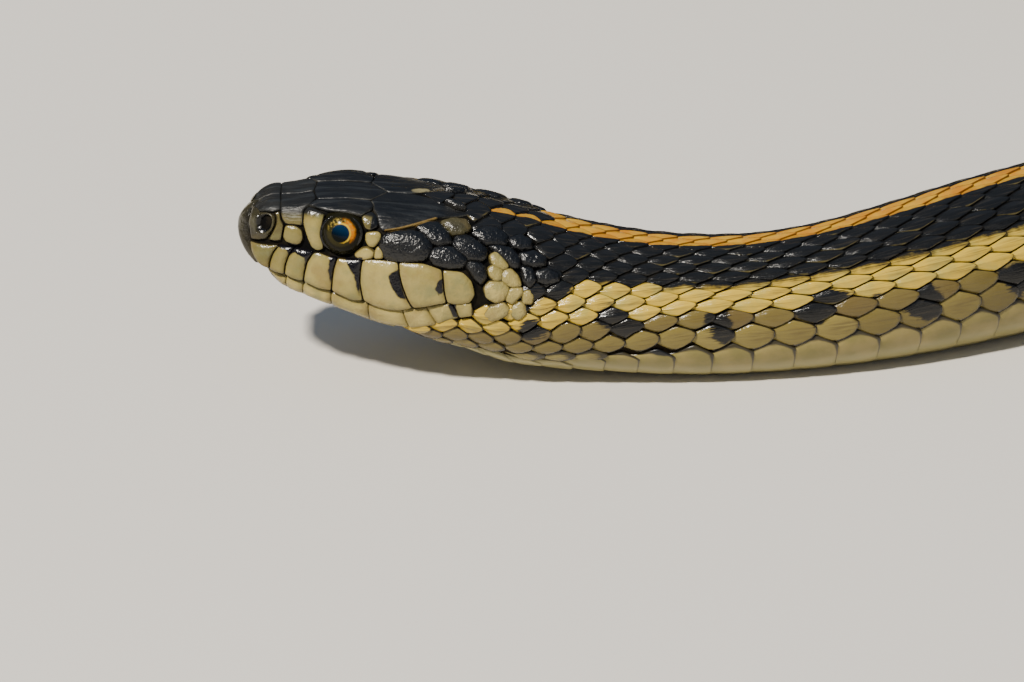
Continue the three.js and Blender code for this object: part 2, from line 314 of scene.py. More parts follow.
# %% [markdown]
# ## Rows of scales
# A plains garter snake has 21 rows of scales round its neck: one along the middle of the back
# and ten on each side, counted up from the belly. The lowest rows are the broadest. Further back
# some rows end, two at a time on each side, so the rest stay staggered. Towards the head the lower
# rows slope down to the chin. In the photo the fore body is rolled a little away from the camera,
# which carries the whole pattern with it.

# %% Widths of the rows
DORSAL_ROWS = 11
# Degrees of turn for each row, from row 1 by the belly to row 11 on the back.
NAPE_ROW_WIDTHS = [11.9] * 4 + [15.8] * 7
NECK_ROW_WIDTHS = [11.9, 11.9, 11.6, 11.9, 11.5] + [10.7] * 6
FORE_ROW_WIDTHS = [17.3, 14.4, 9.7, 8.6, 8.6] + [9.2] * 6
TRUNK_ROW_WIDTHS = [14.5, 11.5, 10.3, 9.8, 9.5] + [9.3] * 6
# Each change of widths: where it starts, where it is done, and the widths from there on.
ROW_CHANGES = [(18, 26, NECK_ROW_WIDTHS), (26, 36, FORE_ROW_WIDTHS), (60, 150, TRUNK_ROW_WIDTHS)]
# Two rows of each side and the place where they end.
ROW_ENDS = [(5, 6, 330), (4, 7, 512), (3, 8, 556), (2, 9, 602)]
ROW_END_LENGTH = 14.0
# Where the lowest row meets the belly, and how far the pattern is turned round the body.
ventral_edge = profile([12, 15, 18, 20.4, 22.9, 25.4, 28.2, 33.6, 40, 60, 150],
                       [4.9, 4.5, 4.17, 3.78, 3.50, 3.26, 3.07, 2.87, 2.91, 2.98, 2.96])
roll = profile([13, 18, 21, 24, 30, 36, 44, 60, 110],
               [0, -0.2, -0.25, -0.15, -0.08, -0.12, -0.22, -0.27, 0])


def row_widths(s):
    """Width of each row as a share of the turn, from row 1 by the belly to row 11 on the back."""
    widths = np.array(NAPE_ROW_WIDTHS) + 0 * s[..., None]
    for start, end, later in ROW_CHANGES:
        widths = widths + (np.array(later) - widths) * smoothstep(s, start, end)[..., None]
    widths[..., -1] /= 2
    for low, high, end in ROW_ENDS:
        left = 1 - smoothstep(s, end - ROW_END_LENGTH, end + ROW_END_LENGTH)
        widths[..., low - 1] *= left
        widths[..., high - 1] *= left
    return widths * (ventral_edge(s) / widths.sum(-1))[..., None]


def row_middle(s, row):
    """Place round the snake of a row's middle line, and the row's width."""
    widths = row_widths(np.asarray(s, float))
    below = widths[..., :row - 1].sum(-1)
    middle = ventral_edge(s) - below - widths[..., row - 1] / 2
    return np.where(row == DORSAL_ROWS, 0.0, middle), widths[..., row - 1] * (1 + (row == DORSAL_ROWS))


# %% [markdown]
# The rings of scales follow each other at the pitch of the belly scutes: one ring for each
# vertebra. They are close together behind the head and again towards the tail's tip. Adding up
# one pitch after another along the snake gives the place of every ring.

# %% Places of the rings
PITCH_PLACES = [9, 15, 22, 29, 36, 41, 50, 100, 300, 480, 500, 560, 610, 640]
PITCHES = [1.8, 1.9, 2.1, 2.4, 2.75, 2.9, 3.02, 3.09, 3.11, 3.09, 3.0, 2.6, 1.75, 1.1]
FIRST_RING = 10.05
LAST_RING = SNAKE_LENGTH - 1.0
FIRST_VENTRAL = 25.5
pitch = profile(PITCH_PLACES, PITCHES)


def ring_places():
    places = [FIRST_RING]
    while places[-1] < LAST_RING:
        places.append(places[-1] + float(pitch(places[-1])))
    return np.array(places)


rings = ring_places()
print("rings from the first ventral to the vent:", int(((rings > FIRST_VENTRAL) & (rings < VENT)).sum()))
print("rings on the tail:", int((rings > VENT).sum()))

# %% [markdown]
# ## Markings
# The snake's pattern is a set of stripes and spots that skin and scales share. Each is kept as a
# distance in millimetres to its edge, plus inside and minus outside. A material turns such a
# distance into a sharp edge wherever the mesh's points are, with a little noise to fray it.

# %% Stripes and black marks
BLACK_LOW_PLACES = [0, 16, 18.5, 19.5, 20.4, 21.2, 21.7, 22.1, 22.8, 23.3, 24.6, 25.1, 26.7, 27.7, 29, 34]
BLACK_LOW_ROUND = [0, 2.0, 2.2, 1.45, 1.75, 1.88, 2.05, 2.39, 2.55, 2.24, 2.03, 1.78, 1.57, 1.46, 1.40, 1.40]
BLACK_REACHES_STRIPE = (29, 34)
black_low = profile(BLACK_LOW_PLACES, BLACK_LOW_ROUND)


def turn_mm(s):
    """Millimetres round the snake for one unit of turn."""
    return 2 * math.pi * girth(s) / 10


# Spots of the neck that the photo shows: place, place round, half length and half height in mm.
NECK_SPOTS = [(28.9, 2.16, 1.5, 1.1), (30.6, 2.32, 1.0, 0.7), (33.1, 2.80, 1.0, 0.5),
              (36.8, 2.14, 1.2, 1.0), (37.5, 2.42, 0.9, 0.6), (44.6, 1.95, 1.5, 1.1),
              (43.9, 2.32, 1.2, 0.6), (51.6, 2.20, 1.3, 1.2), (58.9, 2.28, 1.4, 1.2),
              (22.3, 2.25, 0.7, 0.6), (23.1, 2.62, 0.8, 0.6), (48.4, 1.9, 0.6, 0.4),
              (18.6, 2.25, 0.6, 2.0)]
NECK_SHIFT_RIGHT = 0.9
SPOTS_AGAIN_FROM = 64.0
SPOT_SPACING = 7.4
SPOT_SHIFT_RIGHT = 2.3
SPOT_WANDER = 0.7
SPOT_RADIUS = 1.35
SPOT_RADIUS_VARIES = 0.3
SPOT_STRETCH = 1.15
SPOT_ROUND = 2.28
BELLY_SPOT_ROUND = 2.86
BELLY_SPOT_SHARE = 0.55
FULL_GIRTH = 7.0
FAR_OUTSIDE = -9.0


def neck_spots(s, place_round, side):
    """Distance inside the neck's own spots, in millimetres."""
    field = np.full(np.shape(s), FAR_OUTSIDE)
    for at, at_round, long, high in NECK_SPOTS:
        along = (s - at - side * NECK_SHIFT_RIGHT) / long
        around = (place_round - at_round + float(roll(at))) * turn_mm(s) / high
        reach = np.sqrt(along ** 2 + around ** 2)
        field = np.maximum(field, (1 - reach) * min(long, high))
    return field


def spot_field(s, turn):
    """Distance inside the nearest black spot, in millimetres. Turns count from the back's middle."""
    place_round, side = np.abs(turn), turn < 0
    start = SPOTS_AGAIN_FROM + side * SPOT_SHIFT_RIGHT
    number = np.round((s - start) / SPOT_SPACING)
    middle = start + number * SPOT_SPACING + SPOT_WANDER * np.sin(number * 2.4 + side)
    size = (SPOT_RADIUS + SPOT_RADIUS_VARIES * np.sin(number * 1.7 + side * 2)) * girth(s) / FULL_GIRTH
    away = np.hypot((s - middle) / SPOT_STRETCH, (place_round - SPOT_ROUND) * turn_mm(s))
    low = np.hypot(s - middle - SPOT_SPACING / 2, (place_round - BELLY_SPOT_ROUND) * turn_mm(s))
    row = np.maximum(size - away, size * BELLY_SPOT_SHARE - low)
    return np.maximum(neck_spots(s, place_round, side), np.where(number >= 0, row, FAR_OUTSIDE))


def black_field(s, turn):
    """Distance inside the black ground colour between the stripes."""
    widths = row_widths(s)
    stripe_top = ventral_edge(s) - widths[..., :4].sum(-1) - widths[..., 4] / 2
    low = black_low(s) + (stripe_top - black_low(s)) * smoothstep(s, *BLACK_REACHES_STRIPE)
    return (low - np.abs(turn)) * turn_mm(s)


def flank_field(s, turn):
    """Distance inside the yellow stripe along the side."""
    low = ventral_edge(s) - row_widths(s)[..., :2].sum(-1)
    return (low - np.abs(turn)) * turn_mm(s)


def belly_field(s, turn):
    """Distance inside the belly, below the lowest row."""
    return (np.abs(turn) - ventral_edge(s)) * turn_mm(s)


black_reach = float(black_field(np.array(SNAKE_LENGTH / 2), np.array(0.0)))
print("at mid length the black reaches", round(black_reach, 1), "mm down each side of the back")

# %% [markdown]
# ## Meshes from grids
# Nearly every piece is one or more grids of points: rows of points along it, columns across. One
# helper makes a mesh from points and faces, and keeps named values at the points for the finishes.

# %% Helpers that make meshes
def make_object(name, points, faces, fields=None, uvs=None):
    """A mesh object at the origin, in metres, with values kept at its points."""
    mesh = bpy.data.meshes.new(name)
    faces = np.asarray(faces)
    corners = faces.shape[1]
    mesh.vertices.add(len(points))
    mesh.vertices.foreach_set("co", (np.asarray(points) * MM).astype(np.float32).ravel())
    mesh.loops.add(faces.size)
    mesh.loops.foreach_set("vertex_index", faces.ravel().astype(np.int32))
    mesh.polygons.add(len(faces))
    mesh.polygons.foreach_set("loop_start", np.arange(0, faces.size, corners, dtype=np.int32))
    mesh.update(calc_edges=True)
    mesh.validate()
    mesh.shade_smooth()
    keep_fields(mesh, fields or {})
    if uvs is not None:
        layer = mesh.uv_layers.new(name="OFBake")
        layer.data.foreach_set("uv", uvs[faces.ravel()].astype(np.float32).ravel())
    return new_object(name, mesh)


def keep_fields(mesh, fields):
    """Named values, one for each point of the mesh."""
    for name, values in fields.items():
        attribute = mesh.attributes.get(name) or mesh.attributes.new(name, "FLOAT", "POINT")
        attribute.data.foreach_set("value", np.asarray(values, np.float32).ravel())


def grid_faces(rows, columns, closed=False, looped=False):
    """Faces of a grid of points, four corners each. Columns may close up, and so may rows."""
    i, k = np.meshgrid(np.arange(rows if looped else rows - 1),
                       np.arange(columns if closed else columns - 1), indexing="ij")
    after, ahead = (k + 1) % columns, (i + 1) % rows
    corners = [i * columns + k, i * columns + after, ahead * columns + after, ahead * columns + k]
    return np.stack(corners, -1).reshape(-1, 4)


def triangles(quads):
    return np.concatenate([quads[:, [0, 1, 2]], quads[:, [0, 2, 3]]])


def fan(pole, start, columns):
    """Triangles from one pole to a closed ring of points, of which the first is number start."""
    k = np.arange(columns)
    return np.stack([np.full(columns, pole), start + k, start + (k + 1) % columns], -1)


# %% [markdown]
# ## Skin
# Under the scales of a real snake lies one stretchy skin that shows as thin dark lines between
# them. It is a single closed loft of the outlines, a scale's depth inside the outer surface.
# Close rings round the snout keep it round, and a dent makes room for each eye.

# %% Eye places
EYE_AT = 7.3
EYE_ROUND = 1.44
EYE_RADIUS = 2.0
EYE_DEPTH = 1.35
EYE_LOWER = 0.22


def eye_ways(side):
    """The eyeball's centre, and the ways back, down and out of the eye."""
    along, _, outward = surface_ways(np.array(EYE_AT), np.array(side * EYE_ROUND))
    back = unit(along)
    down = unit(np.cross(back, outward)) * side
    middle = surface(EYE_AT, side * EYE_ROUND) - outward * EYE_DEPTH + down * EYE_LOWER
    return middle, back, down, outward


print("left eye at", np.round(eye_ways(1)[0], 2), "mm")

# %% The skin
SKIN_SIDES = 80
SKIN_FROM = 0.15
HEAD_SKIN_TO = 26
HEAD_SKIN_STEP = 0.32
BODY_SKIN_FIRST_STEP = 0.8
BODY_SKIN_RINGS = 480
SKIN_END = SNAKE_LENGTH - 0.6
HEAD_SKIN_DEPTH = 0.22
BODY_SKIN_DEPTH = 0.36
CHIN_DRAWN_IN = 0.5
EYE_DENT = 0.5
EYE_ROOM = 0.12
EYE_DENT_SLOPE = 0.4
SKIN_TIP = 0.1
SKIN_TAIL_TIP = 0.3
BEHIND_HEAD_SHARE = 0.8
skin_depth = profile([0, 14, 24, 60, 480, 600, 640],
                     [HEAD_SKIN_DEPTH, HEAD_SKIN_DEPTH, 0.3, BODY_SKIN_DEPTH, BODY_SKIN_DEPTH, 0.14, 0.08])


def skin_grid():
    """Places and turns of the skin's points: close rings on the head and wider ones behind."""
    head_part = np.arange(SKIN_FROM, HEAD_SKIN_TO, HEAD_SKIN_STEP)
    body_part = np.linspace(head_part[-1] + BODY_SKIN_FIRST_STEP, SKIN_END, BODY_SKIN_RINGS)
    turns = np.linspace(-5, 5, SKIN_SIDES, endpoint=False)
    return np.meshgrid(np.concatenate([head_part, body_part]), turns, indexing="ij")


def dent_for_eye(points, side):
    """Points near an eyeball, pushed into the head to make room for it."""
    middle, _, _, outward = eye_ways(side)
    near = np.linalg.norm(points - middle, axis=-1, keepdims=True)
    inside = np.clip((EYE_RADIUS + EYE_ROOM - near) / EYE_DENT_SLOPE, 0, 1)
    return points - outward * inside * EYE_DENT


def skin_fields(s, turn):
    """Values for the skin's finish: the black ground, and where pale skin may show."""
    turn = wrapped(turn - roll(s))
    behind_head = np.maximum(smoothstep(s, 19, 22), smoothstep(np.abs(turn), 2.9, 3.1))
    return {"black": black_field(s, turn), "behind_head": BEHIND_HEAD_SHARE * behind_head}


def make_skin():
    q, turns = skin_grid()
    drawn_in = smoothstep(np.abs(turns), 2.7, 3.0) * (1 - smoothstep(uneven(q), 2.7, 3.9))
    points = surface(q, turns, -skin_depth(q) - CHIN_DRAWN_IN * drawn_in)
    for side in (1, -1):
        points = dent_for_eye(points, side)
    tip = points[0].mean(0) - directions(np.array(0.0))[0] * SKIN_TIP
    tail = points[-1].mean(0) + directions(np.array(SNAKE_LENGTH - 1))[0] * SKIN_TAIL_TIP
    flat = np.concatenate([points.reshape(-1, 3), [tip, tail]])
    last_ring = (len(q) - 1) * SKIN_SIDES
    faces = np.concatenate([triangles(grid_faces(len(q), SKIN_SIDES, closed=True)),
                            fan(len(flat) - 2, 0, SKIN_SIDES)[:, ::-1],
                            fan(len(flat) - 1, last_ring, SKIN_SIDES)])
    s_all = np.concatenate([uneven(q).ravel(), [0, SNAKE_LENGTH]])
    turn_all = np.concatenate([turns.ravel(), [0, 0]])
    uvs = np.stack([s_all / SNAKE_LENGTH, (turn_all + 5) / 10], -1)
    return make_object("skin", flat, faces, skin_fields(s_all, turn_all), uvs)


skin = make_skin()
print("skin:", len(skin.data.polygons), "faces")

# %% [markdown]
# ## Scales of the back and sides
# A scale is a small plate fixed at its front and free at its rear, where it lies over the next.
# Because the rows are staggered, its two neighbours ahead cover its front corners too, and what
# is left to see is a long six-sided plate with a pointed front and a blunt rear. Rows 1 and 2 are
# broad and smooth, and the rows above have a keel along the middle. Each kind is modelled once,
# with unit length and width, a rim that turns down and its height in shares of a lift.

# %% One scale of each kind
SCALE_BACK = [0.0, 0.25, 0.42, 0.56, 0.7, 0.84, 0.93, 0.985, 1.0]
SCALE_ACROSS = [-1.0, -0.92, -0.7, -0.42, -0.16, 0.0, 0.16, 0.42, 0.7, 0.92, 1.0]
FRONT_DEPTH = 0.85
EDGE_DROP = 0.27
EDGE_ROUNDING = 2.2
RIM_DROP = 0.42
BELLY_OF_SCALE = 0.42
FRONT_WIDTH = 0.12
FRONT_POINT = 0.16
TAPER_LENGTH = 0.42
TAPER_STRAIGHT = 0.6
CORNER_SLANT = 1.3
KEEL_WIDTH = 0.12
KEEL_END = 0.97


def front_taper(x):
    """Share of a scale's full width at a share of its length: pointed at the front."""
    line = np.clip((x - FRONT_POINT) / TAPER_LENGTH, 0, 1)
    taper = TAPER_STRAIGHT * line + (1 - TAPER_STRAIGHT) * smoothstep(line, 0, 1)
    return FRONT_WIDTH + (1 - FRONT_WIDTH) * taper


def rear_line(across, share, flat):
    """Where a scale ends, in shares of its length: blunt in the middle, with slanted corners."""
    return 1 - share * np.clip((np.abs(across) - flat) / (1 - flat), 0, 1) ** CORNER_SLANT


def scale_height(x, across):
    """Height of a smooth scale, in shares of its lift: low at the front and rising to the rear."""
    side = EDGE_DROP * np.abs(across) ** EDGE_ROUNDING
    return x - FRONT_DEPTH - side + BELLY_OF_SCALE * np.sin(math.pi * x)


def scale_shape(name, rear_share, rear_flat, keel):
    """One flat scale: x runs back, y across, z up in shares of its lift."""
    back, across = np.meshgrid(SCALE_BACK, SCALE_ACROSS, indexing="ij")
    rim = np.zeros_like(back)
    rim[-1], rim[:, 0], rim[:, -1] = 1.0, 1.0, 1.0
    x = back * rear_line(across, rear_share, rear_flat)
    y = 0.5 * across * front_taper(x)
    ridge = np.exp(-(across / KEEL_WIDTH) ** 2) * np.sin(math.pi * np.clip(back, 0, KEEL_END)) ** 0.5
    z = scale_height(x, across) + keel * ridge - RIM_DROP * rim
    faces = grid_faces(len(SCALE_BACK), len(SCALE_ACROSS))[:, ::-1]
    obj = make_object(name, np.stack([x, y, z], -1).reshape(-1, 3) / MM, faces,
                      {"cut_x": x, "cut_y": y, "cut_z": z, "cut_back": back, "cut_across": across})
    obj.hide_render = True
    return obj


broad_scale = scale_shape("broad scale", 0.40, 0.2, 0.0)
keeled_scale = scale_shape("keeled scale", 0.42, 0.1, 0.22)
scale_kinds = [broad_scale, keeled_scale]
print("a scale has", len(broad_scale.data.polygons), "faces")

# %% [markdown]
# Geometry Nodes put a copy of the right scale on each of many root points. The roots carry how
# the scale is turned and sized, and the tree turns every copy into real mesh at its end. It also
# writes the map for baking: each scale is a small patch at its root's place on the unrolled skin.

# %% Helpers that add nodes
def fill(tree, node, inputs):
    """Each input of a node gets a number, a colour, or a link from another node."""
    for key, value in inputs.items():
        if isinstance(value, bpy.types.NodeSocket):
            tree.links.new(value, node.inputs[key])
        else:
            node.inputs[key].default_value = value


def add_node(tree, kind, inputs=None, **settings):
    node = tree.nodes.new(kind)
    for key, value in settings.items():
        setattr(node, key, value)
    fill(tree, node, inputs or {})
    return node


# %% The tree that sets scales on their roots
SCALE_SIZE = 1.0
MAP_PATCH = 0.003


def scale_sockets(tree):
    """The tree's inputs and its output."""
    kinds = {"Geometry": "Geometry", "Broad scale": "Object", "Keeled scale": "Object",
             "Material": "Material", "Scale size": "Float", "Map patch": "Float"}
    for name, kind in kinds.items():
        tree.interface.new_socket(name, in_out="INPUT", socket_type="NodeSocket" + kind)
    tree.interface.new_socket("Geometry", in_out="OUTPUT", socket_type="NodeSocketGeometry")


def scale_tree():
    """Puts a broad or a keeled scale on each root, as its kind says, and makes them real."""
    tree = bpy.data.node_groups.new("Scales on roots", "GeometryNodeTree")
    scale_sockets(tree)

    def add(kind, inputs=None, **settings):
        return add_node(tree, kind, inputs, **settings)

    def named(name, data_type):
        node = add("GeometryNodeInputNamedAttribute", {"Name": name}, data_type=data_type)
        return node.outputs["Attribute"]

    # Each copy faces out, points back along the snake and has its root's size.
    given = add("NodeGroupInput").outputs
    turned = add("FunctionNodeAxesToRotation", {"Primary Axis": named("facing", "FLOAT_VECTOR"),
                                                "Secondary Axis": named("along", "FLOAT_VECTOR")},
                 primary_axis="Z", secondary_axis="X").outputs["Rotation"]
    sized = add("ShaderNodeVectorMath", {0: named("size", "FLOAT_VECTOR"), "Scale": given["Scale size"]},
                operation="SCALE").outputs["Vector"]
    joined = add("GeometryNodeJoinGeometry")
    for number, name in enumerate(("Broad scale", "Keeled scale")):
        picked = add("FunctionNodeCompare", {2: named("kind", "INT"), 3: number},
                     data_type="INT", operation="EQUAL").outputs["Result"]
        shape = add("GeometryNodeObjectInfo", {"Object": given[name]}).outputs["Geometry"]
        copies = add("GeometryNodeInstanceOnPoints",
                     {"Points": given["Geometry"], "Selection": picked, "Instance": shape,
                      "Rotation": turned, "Scale": sized}).outputs["Instances"]
        fill(tree, joined, {"Geometry": copies})
    # Real mesh, with each scale's patch of the map at its root's place.
    real = add("GeometryNodeRealizeInstances", {"Geometry": joined.outputs["Geometry"]}).outputs["Geometry"]
    flat = add("ShaderNodeCombineXYZ", {"X": named("cut_x", "FLOAT"), "Y": named("cut_y", "FLOAT")})
    patch = add("ShaderNodeVectorMath", {0: flat.outputs["Vector"], "Scale": given["Map patch"]},
                operation="SCALE").outputs["Vector"]
    placed = add("ShaderNodeVectorMath", {0: patch, 1: named("root", "FLOAT_VECTOR")},
                 operation="ADD").outputs["Vector"]
    mapped = add("GeometryNodeStoreNamedAttribute", data_type="FLOAT2", domain="CORNER")
    fill(tree, mapped, {"Geometry": real, "Name": "OFBake", "Value": placed})
    painted = add("GeometryNodeSetMaterial", {"Geometry": mapped.outputs["Geometry"],
                                              "Material": given["Material"]})
    add("NodeGroupOutput", {"Geometry": painted.outputs["Geometry"]})
    return tree


coat_tree = scale_tree()
print("scale tree:", len(coat_tree.nodes), "nodes")


# %% [markdown]
# The roots are worked out from the rows and the rings. Rows are staggered: every other row starts
# half a pitch later. A scale is one and a half times as long as the pitch, and reaches a little
# over the rows beside it. How far its rear stands up differs from row to row. The first scales
# start behind the plates of the head, and below row 1 one more row lies beside the chin.

# %% Roots of the scales
SCALE_OVERLAP = 1.5
REACH = 0.72
ROW_LIFTS = [0.42, 0.48, 0.52, 0.54, 0.54, 0.54, 0.5, 0.44, 0.40, 0.36, 0.36]
THROAT_LIFT = 0.34
SCALE_HEIGHT = -0.02
BROAD_ROWS = 2
NARROWEST_ROW = 0.35
# Where the first scales may start, for places round the snake from the back to the belly.
START_ROUND = [0.0, 0.16, 0.28, 0.42, 0.70, 0.80, 0.90, 0.98, 1.1, 1.3, 1.45, 1.6, 1.8, 2.2,
               2.5, 2.65, 2.8, 3.1, 3.3, 3.5, 3.8, 4.2, 4.5, 5.0]
START_PLACE = [11.6, 12.9, 13.3, 14.2, 15.0, 16.0, 19.6, 20.6, 21.6, 21.8, 21.8, 20.6, 20.2, 20.4,
               19.4, 19.0, 17.2, 16.2, 15.2, 13.6, 12.2, 12.4, 12.6, 9.5]
start_place = profile(START_ROUND, START_PLACE)
# The throat's own row and first scutes, ahead of the first broad scute of the belly.
THROAT_ROW_WIDTH = 0.318
THROAT_START = 11.2
THROAT_END = FIRST_VENTRAL + 0.6
THROAT_GAP = 0.04
throat_edge = profile([THROAT_START, 12.6, 14, 16, 20, FIRST_VENTRAL], [4.92, 4.72, 4.52, 4.42, 4.06, 3.66])
LAST_SCALE = SNAKE_LENGTH - 3.0
LAST_MIDDLE_ROUND = 4.95
FARTHEST_ROUND = 5.05


def row_roots(row, side):
    """Places of a row's scales, how far they reach to plus and minus turn, and the row's slope."""
    number = np.arange(len(rings) - 1) + (0.5 if row % 2 else 0.0)
    s = np.interp(number, np.arange(len(rings)), rings)
    if row > 0:
        middle, width = row_middle(s, row)
        keep = (s < LAST_SCALE) & (width > NARROWEST_ROW * row_middle(s, DORSAL_ROWS)[1])
        above = row_middle(s, row + 1 if row < DORSAL_ROWS else row - 1)[1]
        below = row_middle(s, row - 1)[1] if row > 1 else width
    else:
        middle = ventral_edge(s) + THROAT_ROW_WIDTH / 2
        width = THROAT_ROW_WIDTH + 0 * s
        keep = (s < THROAT_END) & (middle < throat_edge(s) - THROAT_GAP)
        above = row_middle(s, 1)[1]
        below = width
    keep &= (s > start_place(np.abs(side * middle + roll(s)))) & (middle < LAST_MIDDLE_ROUND)
    inner = REACH * (width + np.where(above > width / 2, above, width)) / 2
    outer = REACH * (width + np.where(below > width / 2, below, width)) / 2
    outer = np.minimum(outer, FARTHEST_ROUND - middle)
    plus, minus = (outer, inner) if side > 0 else (inner, outer)
    slope = side * np.gradient(middle, s)
    return np.stack([s, side * middle, 0 * s + row, plus, minus, slope], 1)[keep]


# Row 11 lies on the middle line, and the rest on both sides.
roots = np.concatenate([row_roots(row, side) for row in range(DORSAL_ROWS + 1)
                        for side in ((1,) if row == DORSAL_ROWS else (1, -1))])
root_random = np.random.default_rng(7).random(len(roots))
print("scales on the back and sides:", len(roots))

# %% [markdown]
# The copies lie flat on the body, each facing out at its root. A last step bends every scale round
# the body: it moves each point to the same place on the curved surface, at the same height. Then
# neighbours fit each other in every bend. The same places give the markings for each scale, which
# follow its outline more than the ground below: a scale is mostly of one colour.

# %% Bend the scales round the body
SURFACE_END = SNAKE_LENGTH - 0.4


def read_value(mesh, name):
    """A value kept at the mesh's points, as an array."""
    values = np.zeros(len(mesh.vertices), np.float32)
    mesh.attributes[name].data.foreach_get("value", values)
    return values.astype(float)


def lay_on_body(mesh):
    """Move the points of flat scales to the curved surface. Gives their places on it."""
    back, across, up = (read_value(mesh, "cut_" + axis) for axis in "xyz")
    reach = np.where(across < 0, read_value(mesh, "plus"), read_value(mesh, "minus"))
    behind = back * read_value(mesh, "long")
    s = np.minimum(read_value(mesh, "place") + behind, SURFACE_END)
    turn = read_value(mesh, "turn") + read_value(mesh, "slope") * behind - 2 * across * reach
    points = surface(s, turn + roll(s), SCALE_HEIGHT + up * read_value(mesh, "lift"))
    points[:, 2] = np.maximum(points[:, 2], 0.0)
    mesh.vertices.foreach_set("co", (points * MM).astype(np.float32).ravel())
    mesh.update()
    return s, turn


# %% Markings of each scale
# The orange stripe fills row 11 and the inner half of row 10. It starts as single flecks.
STRIPE_ROW = DORSAL_ROWS
STRIPE_FROM = 23.2
STRIPE_PAST_MIDDLE = 0.08
FLECKS_FROM = 17.9
FLECK_HALF_WIDTH = 0.55
FLECK_HALF_LENGTH = 0.5
FLECK_AT = 0.75
FOLLOW = 0.45
SEEN_MIDDLE = 0.68
REAR_EDGE_SHARE = 0.55
SIDE_EDGE_SHARE = 0.9


def scale_markings(mesh, s_here, turn_here):
    """Values for the finish: distances inside each marking, to the scale's edge, and across it."""
    row = np.round(read_value(mesh, "row"))
    turn, long = read_value(mesh, "turn"), read_value(mesh, "long")
    back, across = read_value(mesh, "cut_back"), -read_value(mesh, "cut_across")
    s_mid = read_value(mesh, "place") + SEEN_MIDDLE * long
    turn_mid = turn + read_value(mesh, "slope") * SEEN_MIDDLE * long
    s_at = s_mid + FOLLOW * (s_here - s_mid)
    turn_at = turn_mid + FOLLOW * (turn_here - turn_mid)
    outer = across * np.where(turn < 0, -1, 1)
    half_wide = (read_value(mesh, "plus") + read_value(mesh, "minus")) / 2 * turn_mm(s_here)
    edge = np.minimum((1 - back) * long * REAR_EDGE_SHARE,
                      (1 - np.abs(across)) * half_wide * SIDE_EDGE_SHARE)
    fleck = np.minimum(FLECK_HALF_WIDTH - np.abs(across), FLECK_HALF_LENGTH - np.abs(back - FLECK_AT))
    flecked = (row == STRIPE_ROW - 1) & (turn > 0) & (s_mid > FLECKS_FROM)
    started = np.where(s_mid > STRIPE_FROM, 1.0, np.where(flecked, fleck, -1.0))
    beside = np.where(row == STRIPE_ROW - 1, STRIPE_PAST_MIDDLE - outer, -1.0)
    stripe = np.where(row == STRIPE_ROW, 1.0, beside)
    return {"stripe": np.minimum(stripe, started) * half_wide, "black": black_field(s_at, turn_at),
            "flank": flank_field(s_at, turn_at), "belly": belly_field(s_at, turn_at),
            "spot": spot_field(s_at, turn_at), "edge": edge, "across": outer, "back": back}


# %% One length of the coat
FULL_LIFT_WIDTH = 1.5
LEAST_LIFT = 0.3
SPARE_VALUES = ("facing", "along", "root", "size", "kind", "cut_x", "cut_y", "cut_z", "cut_back",
                "cut_across", "row", "place", "turn", "long", "plus", "minus", "slope", "lift")


def root_points(name, lower, upper):
    """The roots between two places, as bare points that carry what the tree and the bend read."""
    chosen = (roots[:, 0] >= lower) & (roots[:, 0] < upper)
    s, turn, row, plus, minus, slope = roots[chosen].T
    rolled = turn + roll(s)
    along, around, facing = surface_ways(s, rolled)
    long = pitch(s) * SCALE_OVERLAP
    wide = (plus + minus) * np.linalg.norm(around, axis=1)
    lift = np.where(row > 0, np.array(ROW_LIFTS)[np.maximum(row, 1).astype(int) - 1], THROAT_LIFT)
    lift = lift * np.clip(wide / FULL_LIFT_WIDTH, LEAST_LIFT, 1.0)
    mesh = bpy.data.meshes.new(name)
    mesh.from_pydata((surface(s, rolled, SCALE_HEIGHT + 0 * s) * MM).tolist(), [], [])
    root_map = np.stack([(s - lower) / (upper - lower), (rolled + 5) / 10, 0 * s], -1)
    size = np.stack([long * np.linalg.norm(along, axis=1), wide, lift], -1) * MM
    for key, values in {"facing": facing, "along": along, "root": root_map, "size": size}.items():
        mesh.attributes.new(key, "FLOAT_VECTOR", "POINT").data.foreach_set(
            "vector", values.astype(np.float32).ravel())
    keep_fields(mesh, {"place": s, "turn": turn, "row": row, "long": long, "plus": plus,
                       "minus": minus, "slope": slope, "lift": lift, "chance": root_random[chosen]})
    kind = mesh.attributes.new("kind", "INT", "POINT")
    kind.data.foreach_set("value", (row > BROAD_ROWS).astype(np.int32))
    return mesh


def coat_length(name, lower, upper, material):
    """The scales between two places, as one real mesh."""
    mesh = root_points(name + " roots", lower, upper)
    carrier = new_object(mesh.name, mesh)
    modifier = carrier.modifiers.new("Scales", "NODES")
    modifier.node_group = coat_tree
    ids = {item.name: item.identifier for item in coat_tree.interface.items_tree
           if item.in_out == "INPUT"}
    inputs = {"Broad scale": broad_scale, "Keeled scale": keeled_scale, "Material": material,
              "Scale size": SCALE_SIZE, "Map patch": MAP_PATCH}
    for socket, value in inputs.items():
        modifier[ids[socket]] = value
    seen = bpy.context.evaluated_depsgraph_get()
    real = bpy.data.meshes.new_from_object(carrier.evaluated_get(seen),
                                           preserve_all_data_layers=True, depsgraph=seen)
    bpy.data.objects.remove(carrier)
    real.name = name
    fields = scale_markings(real, *lay_on_body(real))
    for spare in SPARE_VALUES:
        real.attributes.remove(real.attributes[spare])
    keep_fields(real, fields)
    real.shade_smooth()
    print(name, "has", len(mesh.vertices), "scales and", len(real.polygons), "faces")
    return new_object(name, real)


